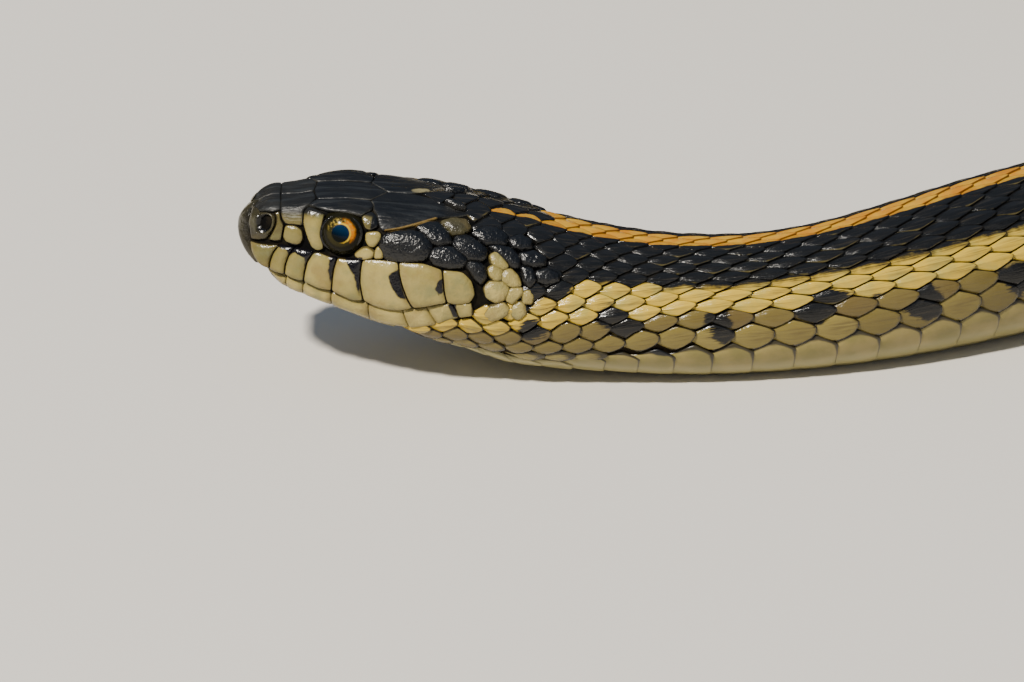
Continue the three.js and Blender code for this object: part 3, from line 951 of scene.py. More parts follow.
# %% [markdown]
# ## Finishes
# Scales are horn over pigment: dark ones shine like wet stone, pale ones are more like wax. The
# finish mixes its colours from the kept distances, adds fine mottling, dark rims, and darker brown
# middles towards the rear that are partly the scale's own brown and partly painted shade, and a bump
# of growth lines that run along each scale. A class keeps the nodes' long names short.

# %% Helper for node materials
class Finish:
    """A node material, and short ways to add nodes to it."""

    def __init__(self, name):
        self.material = bpy.data.materials.new(name)
        self.material.use_nodes = True
        self.tree = self.material.node_tree
        self.shader = self.tree.nodes["Principled BSDF"]

    def add(self, kind, inputs=None, **settings):
        return add_node(self.tree, kind, inputs, **settings)

    def value(self, name):
        """A value that is kept at the mesh's points."""
        return self.add("ShaderNodeAttribute", attribute_name=name).outputs["Fac"]

    def maths(self, operation, a, b=0.0, c=0.0):
        return self.add("ShaderNodeMath", {0: a, 1: b, 2: c}, operation=operation).outputs[0]

    def times(self, a, b):
        return self.maths("MULTIPLY", a, b)

    def plus(self, a, b):
        return self.maths("ADD", a, b)

    def swing(self, noise, amount):
        """A noise about 0 instead of about a half, made larger or smaller."""
        return self.times(self.maths("SUBTRACT", noise, 0.5), amount)

    def step_up(self, value, start, end):
        """0 at the start and 1 at the end, with a smooth step between. It may also run down."""
        return self.add("ShaderNodeMapRange", {"Value": value, "From Min": start, "From Max": end},
                        interpolation_type="SMOOTHSTEP").outputs["Result"]

    def between(self, value, low, high):
        return self.add("ShaderNodeMapRange", {"Value": value, "To Min": low, "To Max": high}).outputs[0]

    def blend(self, share, a, b):
        """Colour a where the share is 0 and colour b where it is 1."""
        return self.add("ShaderNodeMix", {0: share, 6: a, 7: b}, data_type="RGBA",
                        clamp_factor=True).outputs[2]

    def noise(self, scale, detail=3.0, stretch=(1, 1, 1)):
        coordinates = self.add("ShaderNodeTexCoord").outputs["Object"]
        moved = self.add("ShaderNodeMapping", {"Vector": coordinates, "Scale": stretch}).outputs[0]
        return self.add("ShaderNodeTexNoise", {"Vector": moved, "Scale": scale, "Detail": detail}).outputs[0]

    def bump(self, height, strength, depth):
        return self.add("ShaderNodeBump", {"Height": height, "Strength": strength,
                                           "Distance": depth}).outputs[0]

    def shade(self, inputs):
        """Fill the shader's own inputs, and give the finished material."""
        fill(self.tree, self.shader, inputs)
        print(self.material.name, "has", len(self.tree.nodes), "nodes")
        return self.material


# %% Colours of the body's scales
BLACK_COLOUR = (0.0042, 0.0042, 0.0042, 1)
BLACK_HIGH_COLOUR = (0.022, 0.018, 0.012, 1)
STRIPE_COLOUR = (0.40, 0.155, 0.005, 1)
STRIPE_PALE_COLOUR = (0.46, 0.26, 0.018, 1)
STRIPE_RIM_COLOUR = (0.07, 0.02, 0.002, 1)
FLANK_COLOUR = (0.50, 0.335, 0.035, 1)
FLANK_OLIVE_COLOUR = (0.38, 0.29, 0.055, 1)
LOWER_COLOUR = (0.115, 0.086, 0.020, 1)
BROWN_COLOUR = (0.065, 0.040, 0.015, 1)
LOWER_PALE_COLOUR = (0.20, 0.155, 0.038, 1)
BELLY_COLOUR = (0.25, 0.20, 0.052, 1)
BROWN_AND_PAINTED_SHADE_COLOUR = (0.085, 0.058, 0.018, 1)
SEAM_COLOUR = (0.010, 0.0075, 0.004, 1)


def pale_scales(look, mottle, fibres, fray):
    """Yellow on the flank, olive and brown below it, each scale with a darker middle that is partly brown and
    partly painted shade, and dark seams.
    """
    chance, edge = look.value("chance"), look.value("edge")
    across, back = look.value("across"), look.value("back")
    from_flank, from_belly = look.value("flank"), look.value("belly")
    lower = look.blend(chance, LOWER_COLOUR, LOWER_PALE_COLOUR)
    second_row = look.times(look.step_up(from_flank, -1.6, -1.2), look.maths("POWER", chance, 1.5))
    lower = look.blend(look.times(second_row, 0.9), lower, BROWN_COLOUR)
    flank = look.blend(look.step_up(mottle, 0.4, 0.7), FLANK_COLOUR, FLANK_OLIVE_COLOUR)
    pale = look.blend(look.step_up(from_flank, -0.1, 0.1), lower, flank)
    pale = look.blend(look.step_up(from_belly, -0.1, 0.1), pale, BELLY_COLOUR)
    # The darker rear middle of each pale scale is partly its own brown and partly painted shade.
    middle = look.step_up(look.plus(look.maths("ABSOLUTE", across), fray), 0.75, 0.1)
    brown_and_shaded_middle = look.times(middle, look.step_up(look.plus(back, fray), 0.35, 0.75))
    brown_and_shaded_middle = look.times(brown_and_shaded_middle, look.step_up(fibres, 0.35, 0.65))
    brown_and_shaded_middle = look.times(brown_and_shaded_middle, look.maths("MULTIPLY_ADD", chance, 0.5, 0.25))
    pale = look.blend(brown_and_shaded_middle, pale, BROWN_AND_PAINTED_SHADE_COLOUR)
    by_scutes = look.times(look.step_up(from_belly, -0.7, 0.0), look.step_up(from_belly, 1.9, 0.3))
    by_scutes = look.times(by_scutes, look.step_up(mottle, 0.25, 0.5))
    seam_width = look.maths("MULTIPLY_ADD", by_scutes, 0.42, 0.10)
    seam = look.step_up(look.maths("DIVIDE", edge, seam_width), 1.0, 0.4)
    return look.blend(look.times(seam, 0.92), pale, SEAM_COLOUR)


def black_scales(look, fibres):
    """Black with browner fibres, and here and there a pale line just inside the lower rim."""
    edge, chance = look.value("edge"), look.value("chance")
    black = look.blend(look.step_up(fibres, 0.5, 0.8), BLACK_COLOUR, BLACK_HIGH_COLOUR)
    line = look.times(look.step_up(edge, 0.20, 0.10), look.step_up(edge, 0.03, 0.08))
    line = look.times(line, look.step_up(look.value("across"), 0.1, 0.5))
    line = look.times(line, look.step_up(look.plus(chance, look.noise(1400.0)), 1.2, 1.45))
    return look.blend(look.times(line, 0.35), black, LOWER_PALE_COLOUR)


def striped_scales(look, mottle):
    """Orange with paler patches, and a dark red rim."""
    stripe = look.blend(look.step_up(mottle, 0.3, 0.7), STRIPE_COLOUR, STRIPE_PALE_COLOUR)
    rim = look.times(look.step_up(look.value("edge"), 0.12, 0.02), 0.85)
    return look.blend(rim, stripe, STRIPE_RIM_COLOUR)


# %% Finish of the body's scales
def make_scale_finish():
    look = Finish("Horn of the scales")
    mottle = look.noise(600.0, 4.0)
    # Fibres run along each scale, and are different on each by its chance.
    on_scale = look.add("ShaderNodeCombineXYZ", {"X": look.times(look.value("across"), 4.5),
                                                 "Y": look.value("back"),
                                                 "Z": look.times(look.value("chance"), 60.0)}).outputs[0]
    fibres = look.add("ShaderNodeTexNoise", {"Vector": on_scale, "Scale": 1.6, "Detail": 3.0}).outputs[0]
    fray = look.plus(look.swing(look.noise(1100.0, 4.0), 0.35), look.swing(fibres, 0.35))
    dark = look.step_up(look.plus(look.value("black"), fray), -0.16, 0.14)
    spotted = look.step_up(look.plus(look.value("spot"), fray), -0.06, 0.06)
    striped = look.step_up(look.plus(look.value("stripe"), look.times(fray, 0.5)), -0.05, 0.06)
    colour = look.blend(look.maths("MAXIMUM", dark, spotted),
                        pale_scales(look, mottle, fibres, fray), black_scales(look, fibres))
    colour = look.blend(striped, colour, striped_scales(look, mottle))
    height = look.plus(look.times(look.noise(2600.0, 4.0), 0.6), fibres)
    return look.shade({"Base Color": colour, "Roughness": look.between(mottle, 0.11, 0.25),
                       "Specular IOR Level": 0.40, "Normal": look.bump(height, 0.4, 0.00012)})


scale_finish = make_scale_finish()

# %% Finish of the skin
SKIN_BLACK_COLOUR = (0.002, 0.002, 0.002, 1)
SKIN_DARK_COLOUR = (0.010, 0.008, 0.005, 1)
SKIN_BROWN_COLOUR = (0.018, 0.012, 0.005, 1)


def make_skin_finish():
    look = Finish("Skin between the scales")
    dark = look.blend(look.step_up(look.noise(900.0, 4.0), 0.4, 0.7), SKIN_BLACK_COLOUR, SKIN_DARK_COLOUR)
    pale = look.times(look.step_up(look.value("black"), 0.2, -0.2), look.value("behind_head"))
    return look.shade({"Base Color": look.blend(pale, dark, SKIN_BROWN_COLOUR), "Roughness": 0.6,
                       "Specular IOR Level": 0.05,
                       "Normal": look.bump(look.noise(4000.0, 3.0), 0.4, 0.0001)})


skin_finish = make_skin_finish()
skin.data.materials.append(skin_finish)

# %% The coat, in lengths
COAT_CUTS = [0, 60, 130, 200, 270, 340, 420, 497, 660]
coats = [coat_length(f"scales_{i + 1}", lower, upper, scale_finish)
         for i, (lower, upper) in enumerate(zip(COAT_CUTS, COAT_CUTS[1:]))]
for template in scale_kinds:
    bpy.data.objects.remove(template)
print("the coat has", sum(len(coat.data.polygons) for coat in coats), "faces")

# %% [markdown]
# ## Belly
# The belly has one broad scute for each ring, each with a free rear edge. Its ends are shaped as
# scales are, because they reach up between two scales of row 1. The first scutes, under the
# throat, are narrow. The last before the vent, the anal plate, is single in this snake, and behind
# it the scutes of the tail are in pairs.

# %% One scute
SCUTE_LIFT = 0.40
END_PARTS = [1.0, 0.93, 0.75, 0.55, 0.35, 0.17, 0.0]
MIDDLE_PARTS = [0.07, 0.18, 0.34, 0.5]
PAIR_PARTS = [0.2, 0.5, 0.8, 1.0]
PAIR_END_ROUND = 5.02
SCUTE_REAR_SHARE = 0.36
SCUTE_REAR_FLAT = 0.2
FULL_LIFT_REACH = 1.2
MIDDLE_LIFT = 0.45
SCUTE_REAR_EDGE = 0.7
SCUTE_SIDE_EDGE = 0.9


def scute_columns(inner, paired):
    """Places round the snake of a scute's columns, and how far out in a reaching end each is."""
    ends = np.array(END_PARTS)
    if paired:
        middles = inner + (PAIR_END_ROUND - inner) * np.array(PAIR_PARTS)
        return np.append(np.full(len(ends), inner), middles), np.append(ends, 0 * middles)
    parts = np.array(MIDDLE_PARTS + [1 - part for part in MIDDLE_PARTS[-2::-1]])
    middles = inner + (10 - inner - inner) * parts
    places = np.concatenate([np.full(len(ends), inner), middles, np.full(len(ends), 10 - inner)])
    return places, np.concatenate([ends, 0 * middles, ends[::-1]])


def scute(s, step, pair_side=0):
    """Points of one scute, their places and turns, and how far each is from the scute's edge."""
    if s < FIRST_VENTRAL:
        end_width, inner = THROAT_ROW_WIDTH, float(throat_edge(s))
    else:
        end_width = float(row_widths(np.array(s))[0])
        inner = float(ventral_edge(s)) + end_width / 2
    reach = REACH * end_width
    folded, end = scute_columns(inner, pair_side != 0)
    back, end_grid = np.meshgrid(SCALE_BACK, end, indexing="ij")
    x = back * rear_line(end_grid, SCUTE_REAR_SHARE, SCUTE_REAR_FLAT)
    turn = folded - reach * end_grid * front_taper(x) * np.where(folded <= 5, 1, -1)
    if pair_side < 0:
        turn = 10 - turn[:, ::-1]
        x, back, end_grid = (grid[:, ::-1] for grid in (x, back, end_grid))
    up = scale_height(x, end_grid)
    up[-1] -= RIM_DROP
    up[:, [0, -1]] -= RIM_DROP
    lift = SCUTE_LIFT * min(1.0, 2 * reach * float(turn_mm(s)) / FULL_LIFT_REACH)
    lift = lift * (MIDDLE_LIFT + (1 - MIDDLE_LIFT) * np.sqrt(end_grid))
    places = np.minimum(s + x * step * SCALE_OVERLAP, SURFACE_END)
    points = surface(places, turn + roll(places), SCALE_HEIGHT + lift * up)
    points[..., 2] = np.maximum(points[..., 2], 0.0)
    from_end = (1 - end_grid) * reach + np.abs(folded - np.where(folded <= 5, inner, 10 - inner))
    edge = np.minimum((1 - back) * step * SCALE_OVERLAP * SCUTE_REAR_EDGE,
                      from_end * float(turn_mm(s)) * SCUTE_SIDE_EDGE)
    return points, places, wrapped(turn), edge


# %% Scutes of the belly and tail
BELLY_CUT = 270.0
LAST_SCUTE = SNAKE_LENGTH - 4.0
SCUTE_MAP_MARGIN = 5.0


def make_scutes(name, lower, upper, paired):
    """The scutes between two places as one mesh."""
    chosen = rings[(rings >= lower) & (rings < upper)]
    sides = (1, -1) if paired else (0,)
    scutes = [scute(s, float(pitch(s)), side) for s in chosen for side in sides]
    points = np.concatenate([one[0].reshape(-1, 3) for one in scutes])
    places, turns, edges = (np.concatenate([one[k].ravel() for one in scutes]) for k in (1, 2, 3))
    rows, columns = scutes[0][1].shape
    faces = np.concatenate([grid_faces(rows, columns) + i * rows * columns for i in range(len(scutes))])
    uvs = np.stack([(places - lower) / (upper - lower + SCUTE_MAP_MARGIN), np.abs(turns) / 5], -1)
    obj = make_object(name, points, faces,
                      {"edge": edges, "spot": spot_field(places, turns), "turn": np.abs(turns)}, uvs)
    print(name, "has", len(scutes), "scutes")
    return obj


belly = [make_scutes("belly_scutes_1", THROAT_START, BELLY_CUT, False),
         make_scutes("belly_scutes_2", BELLY_CUT, VENT, False),
         make_scutes("tail_scutes", VENT, LAST_SCUTE, True)]

# %% Finish of the scutes
SCUTE_COLOUR = (0.175, 0.145, 0.034, 1)
SCUTE_PALE_COLOUR = (0.26, 0.20, 0.060, 1)
SCUTE_MIDDLE_COLOUR = (0.33, 0.29, 0.12, 1)


def make_scute_finish():
    """Olive yellow that is paler in the middle, with dark wedges between the ends."""
    look = Finish("Smooth horn of the belly")
    place_round = look.value("turn")
    colour = look.blend(look.step_up(look.noise(450.0, 4.0), 0.35, 0.7), SCUTE_COLOUR, SCUTE_PALE_COLOUR)
    colour = look.blend(look.step_up(place_round, 3.2, 4.2), colour, SCUTE_MIDDLE_COLOUR)
    seam_width = look.maths("MULTIPLY_ADD", look.step_up(place_round, 3.35, 2.85), 0.30, 0.12)
    seam = look.step_up(look.maths("DIVIDE", look.value("edge"), seam_width), 1.0, 0.45)
    seam = look.times(seam, look.step_up(place_round, 4.1, 3.1))
    colour = look.blend(look.times(seam, 0.92), colour, SEAM_COLOUR)
    colour = look.blend(look.step_up(look.value("spot"), -0.1, 0.1), colour, BLACK_COLOUR)
    return look.shade({"Base Color": colour, "Roughness": 0.35,
                       "Normal": look.bump(look.noise(1500.0, 3.0), 0.15, 0.0001)})


scute_finish = make_scute_finish()
for piece in belly:
    piece.data.materials.append(scute_finish)

# %% [markdown]
# ## Eyes
# A snake's eye has no lids: a clear scale covers it. It is a ball set in the head with a round
# pupil, and the ring of the iris round it, orange above and behind: partly the iris's own colour and
# partly painted glow, where light through the clear scale lands on its far side. The colour follows
# how far a point lies from the pupil's middle.

# %% Eyes
EYE_RINGS = 48
EYE_SIDES = 64
PUPIL_BACK = 0.05
PUPIL_UP = 0.27


def make_eye(name, side):
    """An eyeball, with each point's distance and way from the pupil's middle."""
    middle, back, down, outward = eye_ways(side)
    from_pole = np.linspace(0.0, math.pi, EYE_RINGS + 1)[1:-1]
    clock = np.linspace(0, 2 * math.pi, EYE_SIDES, endpoint=False)
    pp, cc = np.meshgrid(from_pole, clock, indexing="ij")
    x, y, z = np.sin(pp) * np.cos(cc), np.sin(pp) * np.sin(cc), np.cos(pp)
    ring_points = (x[..., None] * back + y[..., None] * down + z[..., None] * outward) * EYE_RADIUS
    points = np.concatenate([ring_points.reshape(-1, 3), [outward * EYE_RADIUS, -outward * EYE_RADIUS]])
    faces = np.concatenate([triangles(grid_faces(EYE_RINGS - 1, EYE_SIDES, closed=True)),
                            fan(len(points) - 2, 0, EYE_SIDES)[:, ::-1],
                            fan(len(points) - 1, (EYE_RINGS - 2) * EYE_SIDES, EYE_SIDES)])
    if side < 0:
        faces = faces[:, ::-1]
    back_off = points @ back - PUPIL_BACK
    down_off = points @ down + PUPIL_UP
    away = np.hypot(back_off, down_off)
    obj = make_object(name, points + middle, faces,
                      {"away": away, "clock_back": back_off / np.maximum(away, 0.01),
                       "clock_down": down_off / np.maximum(away, 0.01)})
    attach(obj, "root")
    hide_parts(name)
    print(name, "has", len(obj.data.polygons), "faces")
    return obj


eyes = [make_eye("eye_left", 1), make_eye("eye_right", -1)]

# %% Finish of the eyes
PUPIL_RADIUS = 0.70
PUPIL_SOFTNESS = 0.05
PUPIL_COLOUR = (0.0012, 0.0022, 0.0018, 1)
PUPIL_SKY_REFLECTION_COLOUR = (0.0015, 0.013, 0.038, 1)
IRIS_DARK_COLOUR = (0.022, 0.019, 0.006, 1)
IRIS_ORANGE_COLOUR = (0.42, 0.13, 0.002, 1)
IRIS_FLECK_COLOUR = (0.30, 0.22, 0.045, 1)
IRIS_RING_COLOUR = (0.50, 0.32, 0.02, 1)
EYE_RIM_COLOUR = (0.007, 0.0065, 0.003, 1)


def make_eye_finish():
    """A dark pupil with a painted sky reflection on its upper half, a thin golden ring, and a flecked iris in
    a dark rim; the iris's orange above and behind is partly its own colour and partly painted glow.
    """
    look = Finish("Wet eye")
    away, rear, down = look.value("away"), look.value("clock_back"), look.value("clock_down")
    grain = look.noise(3500.0, 4.0)
    # Painted glow: the iris is more orange towards the rear and top, and so is its thin ring. This is partly
    # its own colour and partly light through the clear scale.
    sides = look.plus(rear, look.times(down, -0.45))
    iris_orange_and_painted_glow = look.step_up(look.plus(sides, look.swing(grain, 1.6)), 0.35, 1.0)
    iris = look.blend(iris_orange_and_painted_glow, IRIS_DARK_COLOUR, IRIS_ORANGE_COLOUR)
    flecks = look.times(look.step_up(look.noise(5200.0, 4.0), 0.48, 0.60), look.step_up(down, 0.1, -0.6))
    iris = look.blend(look.times(flecks, 0.7), iris, IRIS_FLECK_COLOUR)
    rough_away = look.plus(away, look.swing(grain, 0.25))
    ring = look.times(look.step_up(rough_away, PUPIL_RADIUS + 0.16, PUPIL_RADIUS + 0.04),
                      look.step_up(sides, -0.6, 0.5))
    iris = look.blend(ring, iris, IRIS_RING_COLOUR)
    # Painted reflection of a blue sky: the pupil is bluer towards its upper half.
    low = look.times(look.plus(down, look.times(rear, -0.3)), away)
    sky = look.add("ShaderNodeMapRange", {"Value": low, "From Min": 0.38, "From Max": -0.42}).outputs[0]
    pupil = look.blend(sky, PUPIL_COLOUR, PUPIL_SKY_REFLECTION_COLOUR)
    past_pupil = look.step_up(away, PUPIL_RADIUS - PUPIL_SOFTNESS, PUPIL_RADIUS + PUPIL_SOFTNESS)
    colour = look.blend(past_pupil, pupil, iris)
    colour = look.blend(look.step_up(rough_away, 0.97, 1.22), colour, EYE_RIM_COLOUR)
    return look.shade({"Base Color": colour, "Roughness": 0.15, "Specular IOR Level": 0.09})


eye_finish = make_eye_finish()
for eye in eyes:
    eye.data.materials.append(eye_finish)

# %% [markdown]
# ## Plates of the head
# The head of a garter snake is covered by large smooth plates with fine seams, always in the same
# order: a rostral on the snout's tip, pairs of internasals and prefrontals, one frontal between
# the brows, and two long parietals. The lips have eight plates on each side above and below. Each
# plate is an outline on the head's surface, filled with rings of points from its rim to its
# middle. That gives every plate a real rounded edge and its own swelling.

# %% The outline of one plate
PLATE_GAP = 0.05
CORNER_SOFTNESS = 0.13
OUTLINE_STEP = 0.10
OUTLINE_COUNTS = (28, 150)
SOFTNESS_REACH = 2.2


def soft_outline(corners, scale, softness):
    """The outline in mm as many even points, with its corners rounded."""
    loop = np.array(corners) * scale
    lengths = np.linalg.norm(np.roll(loop, -1, axis=0) - loop, axis=1)
    total = lengths.sum()
    count = int(np.clip(round(total / OUTLINE_STEP), *OUTLINE_COUNTS))
    step = total / count
    at = np.concatenate([[0], np.cumsum(lengths)])
    closed = np.concatenate([loop, loop[:1]])
    points = np.stack([np.interp(np.arange(count) * total / count, at, closed[:, k]) for k in range(2)], 1)
    reach = max(1, round(SOFTNESS_REACH * softness / step))
    offsets = np.arange(-reach, reach + 1)
    weights = np.exp(-0.5 * (offsets * total / count / softness) ** 2)
    points = sum(w * np.roll(points, k, axis=0) for k, w in zip(offsets, weights)) / weights.sum()
    x, y = points.T
    clockwise = np.sum(x * np.roll(y, -1) - y * np.roll(x, -1)) <= 0
    return points if clockwise else points[::-1]


def inward(points):
    """Directions into a loop that runs clockwise."""
    along = unit(np.roll(points, -1, axis=0) - np.roll(points, 1, axis=0))
    return np.stack([along[:, 1], -along[:, 0]], 1)


def depth_inside(points, loop):
    """A smooth distance from a loop: the true one close to it, and with no creases further in."""
    away = np.linalg.norm(points[:, None] - loop[None], axis=2)
    step = np.linalg.norm(loop - np.roll(loop, 1, axis=0), axis=1).mean()
    return (np.sum(np.maximum(away, 0.01) ** -3.0, axis=1) * step / 2) ** -0.5


# %% Room for the eyes
EYE_OPENING = 1.57
turn_mm_at_eye = np.linalg.norm(surface_ways(np.array(EYE_AT), np.array(EYE_ROUND))[1])


def clear_of_eye(q, turn):
    """Move what lies over the eye's opening out to its edge."""
    x = q - EYE_AT
    y = (np.abs(turn) - EYE_ROUND) * turn_mm_at_eye
    away = np.hypot(x, y)
    push = np.where(away < EYE_OPENING, EYE_OPENING / np.maximum(away, 0.05), 1.0)
    return EYE_AT + x * push, np.sign(turn) * (EYE_ROUND + y * push / turn_mm_at_eye)


print("one unit of turn at the eye is", round(float(turn_mm_at_eye), 2), "mm")

# %% One plate from its outline
RIM_DEPTH = 0.26
EDGE_INSETS = [0.0, 0.05, 0.12]
EDGE_DROPS = [0.085, 0.02, 0.0]
INNER_SHARES = [0.9, 0.77, 0.62, 0.45, 0.28, 0.12]
SWELL_ROUNDING = 2.2


def plate(corners, rise, middle=None, lift=None, softness=CORNER_SOFTNESS, grow=0.0):
    """Points, faces and values of one plate. Corners are signed places round the head."""
    corners = [(float(even(s)), turn) for s, turn in corners]
    mean = np.mean(corners, axis=0)
    along, around, _ = surface_ways(np.array(mean[0]), np.array(mean[1]))
    scale = np.array([np.linalg.norm(along), np.linalg.norm(around)])
    loop = soft_outline(corners, scale, softness)
    loop = loop + inward(loop) * (PLATE_GAP - grow)
    pole = loop.mean(0) if middle is None else np.array([float(even(middle[0])), middle[1]]) * scale
    loops = [loop] + [loop + inward(loop) * inset for inset in EDGE_INSETS]
    loops += [pole + (loops[-1] - pole) * share for share in INNER_SHARES]
    depths = [RIM_DEPTH] + EDGE_DROPS + [0.0] * len(INNER_SHARES)
    rows, n = len(loops), len(loop)
    flat = np.concatenate(loops + [pole[None]])
    drops = np.concatenate([np.full(n, -depth) for depth in depths] + [[0.0]])
    edges = depth_inside(flat, loop)
    edges[:3 * n] = np.repeat([0.0, 0.0, EDGE_INSETS[1]], n)
    swells = 1 - (1 - np.clip(edges / edges.max(), 0, 1)) ** SWELL_ROUNDING
    q, turn = clear_of_eye(*(flat / scale).T)
    height = drops + swells * rise
    if lift is not None:
        height = height + lift(uneven(q), np.abs(turn)) * (drops > -RIM_DEPTH)
    faces = np.concatenate([triangles(grid_faces(rows, n, closed=True)[:, ::-1]),
                            fan(len(flat) - 1, (rows - 1) * n, n)[:, ::-1]])
    return surface(q, turn, height), faces, {"place": uneven(q), "turn": turn, "edge": edges}


def both_sides(outline):
    """An outline on the snake's left and its mirror image on the right, each with its side."""
    return [(1, outline), (-1, [(s, -turn) for s, turn in outline])]


# %% [markdown]
# Marks on the plates are small outlines on the same surface. The distance to such an outline is
# kept at the points of the plates, plus inside and minus outside, as for the body's stripes.

# %% Black and pale marks of the head
# Corners are (place behind the snout in mm, place round the head), here and in every outline.
HEAD_MARKS = {
    "lip_2_3": [(3.0, 1.9), (5.7, 1.85), (5.32, 2.2), (5.2, 2.4), (5.05, 2.15), (4.3, 2.10), (3.85, 2.28),
                (3.6, 2.13), (3.0, 2.12)],
    "lip_4": [(6.85, 1.98), (7.45, 1.96), (7.33, 2.29), (7.38, 2.5), (7.34, 2.62), (7.1, 2.42), (6.95, 2.25)],
    "lip_5": [(7.85, 1.93), (9.32, 1.88), (9.32, 2.23), (9.46, 2.49), (9.7, 2.75), (9.3, 2.55), (8.9, 2.3),
              (8.4, 2.15)],
    "lip_6": [(11.45, 2.2), (12.1, 2.07), (12.22, 2.2), (12.6, 2.44), (13.2, 2.70), (12.6, 2.66), (12.0, 2.5),
              (11.6, 2.35)],
    "lip_7": [(15.15, 2.16), (15.52, 2.1), (15.60, 2.25), (15.78, 2.44), (15.5, 2.52), (15.1, 2.38)],
    "low_lip_7": [(16.3, 2.74), (16.9, 2.66), (17.3, 3.0), (16.9, 3.02)],
    "low_lip_8": [(18.0, 2.5), (18.9, 2.4), (19.0, 2.8), (18.3, 2.78)],
}
PALE_MARK = [(12.25, 0.03), (13.0, 0.06), (13.7, 0.15), (13.5, 0.24), (12.7, 0.20), (12.2, 0.12)]
TAN_LINE = [(10.4, 1.15), (11.4, 1.02), (12.5, 0.86), (14.3, 0.62), (14.5, 0.70), (12.7, 0.96), (11.5, 1.12),
            (10.4, 1.26)]
HEAD_ROUND_MM = 3.6
FAR_AWAY = 99.0
NO_RISE = 1e-9


def inside_distance(s, place_round, outline):
    """Distance to an outline in mm, plus inside and minus outside."""
    points = np.stack([s, np.abs(place_round) * HEAD_ROUND_MM], -1)
    corners = np.array(outline) * [1.0, HEAD_ROUND_MM]
    nearest = np.full(s.shape, FAR_AWAY)
    inside = np.zeros(s.shape, bool)
    for a, b in zip(corners, np.roll(corners, -1, axis=0)):
        share = np.clip(((points - a) @ (b - a)) / ((b - a) @ (b - a)), 0, 1)
        nearest = np.minimum(nearest, np.linalg.norm(points - a - share[..., None] * (b - a), axis=-1))
        rise = b[1] - a[1] if abs(b[1] - a[1]) > NO_RISE else NO_RISE
        crosses = (a[1] > points[..., 1]) != (b[1] > points[..., 1])
        left = points[..., 0] < a[0] + (points[..., 1] - a[1]) / rise * (b[0] - a[0])
        inside ^= crosses & left
    return np.where(inside, nearest, -nearest)


def head_marks(s, place_round):
    return np.max([inside_distance(s, place_round, mark) for mark in HEAD_MARKS.values()], axis=0)


print("marks on each side of the head:", len(HEAD_MARKS) + 1)

# %% Many plates as one mesh
HEAD_MAP_LENGTH = 24.0
TAN_LOWER_ON_RIGHT = 0.2


def make_plates(name, plates, finish):
    """Many plates as one mesh: each is its result of plate() and its tone."""
    points, faces, count = [], [], 0
    fields = {"place": [], "turn": [], "edge": [], "tone": []}
    for (some_points, some_faces, values), tone in plates:
        points.append(some_points)
        faces.append(some_faces + count)
        count += len(some_points)
        for key, value in {**values, "tone": tone}.items():
            fields[key].append(np.broadcast_to(value, len(some_points)))
    fields = {key: np.concatenate(value) for key, value in fields.items()}
    place, turn = fields.pop("place"), fields.pop("turn")
    fields["mark"] = head_marks(place, turn)
    # The pale mark on the crown is only on the snake's right.
    fields["pale_mark"] = inside_distance(place, turn, PALE_MARK) - FAR_AWAY * (turn > 0)
    fields["tan_line"] = inside_distance(place, turn + TAN_LOWER_ON_RIGHT * (turn < 0), TAN_LINE)
    uvs = np.stack([place / HEAD_MAP_LENGTH, (turn + 5) / 10], -1)
    obj = make_object(name, np.concatenate(points), np.concatenate(faces), fields, uvs)
    obj.data.materials.append(finish)
    print(name, "has", len(plates), "plates and", len(obj.data.polygons), "faces")
    return obj


# %% [markdown]
# The plates' finish runs through one ramp of tones, from charcoal on the crown through olive to
# the cream of the lips. Each plate has its tone, so the same nodes make them all. Dark plates get
# fine wrinkles with a painted sheen, and painted highlights along some of their seams. Pale plates
# get green and brown blotches and dark seams. The marks are laid over both.

# %% Finish of the plates
# Tone runs from 0, charcoal, through olive to 1, cream.
TONE_COLOURS = [(0.0, (0.0018, 0.0019, 0.0024, 1)), (0.2, (0.011, 0.010, 0.007, 1)),
                (0.45, (0.07, 0.060, 0.021, 1)), (0.75, (0.20, 0.165, 0.048, 1)),
                (1.0, (0.39, 0.31, 0.098, 1))]
WRINKLE_SHEEN_COLOUR = (0.014, 0.0155, 0.0165, 1)
SEAM_HIGHLIGHT_COLOUR = (0.075, 0.072, 0.06, 1)
GREENISH_COLOUR = (0.150, 0.150, 0.062, 1)
BROWNISH_COLOUR = (0.19, 0.125, 0.036, 1)
DULL_EDGE_COLOUR = (0.13, 0.10, 0.025, 1)
TAN_COLOUR = (0.20, 0.13, 0.035, 1)
MARK_COLOUR = (0.003, 0.0026, 0.004, 1)
PALE_MARK_COLOUR = (0.30, 0.26, 0.13, 1)
ROUGHNESS_RANGE = 0.18


def tone_ramp(look, tone):
    """The tone's own colour, with two sizes of mottling."""
    ramp = look.add("ShaderNodeValToRGB", {"Fac": tone})
    while len(ramp.color_ramp.elements) < len(TONE_COLOURS):
        ramp.color_ramp.elements.new(0.5)
    for element, (position, colour) in zip(ramp.color_ramp.elements, TONE_COLOURS):
        element.position, element.color = position, colour
    return ramp.outputs["Color"]


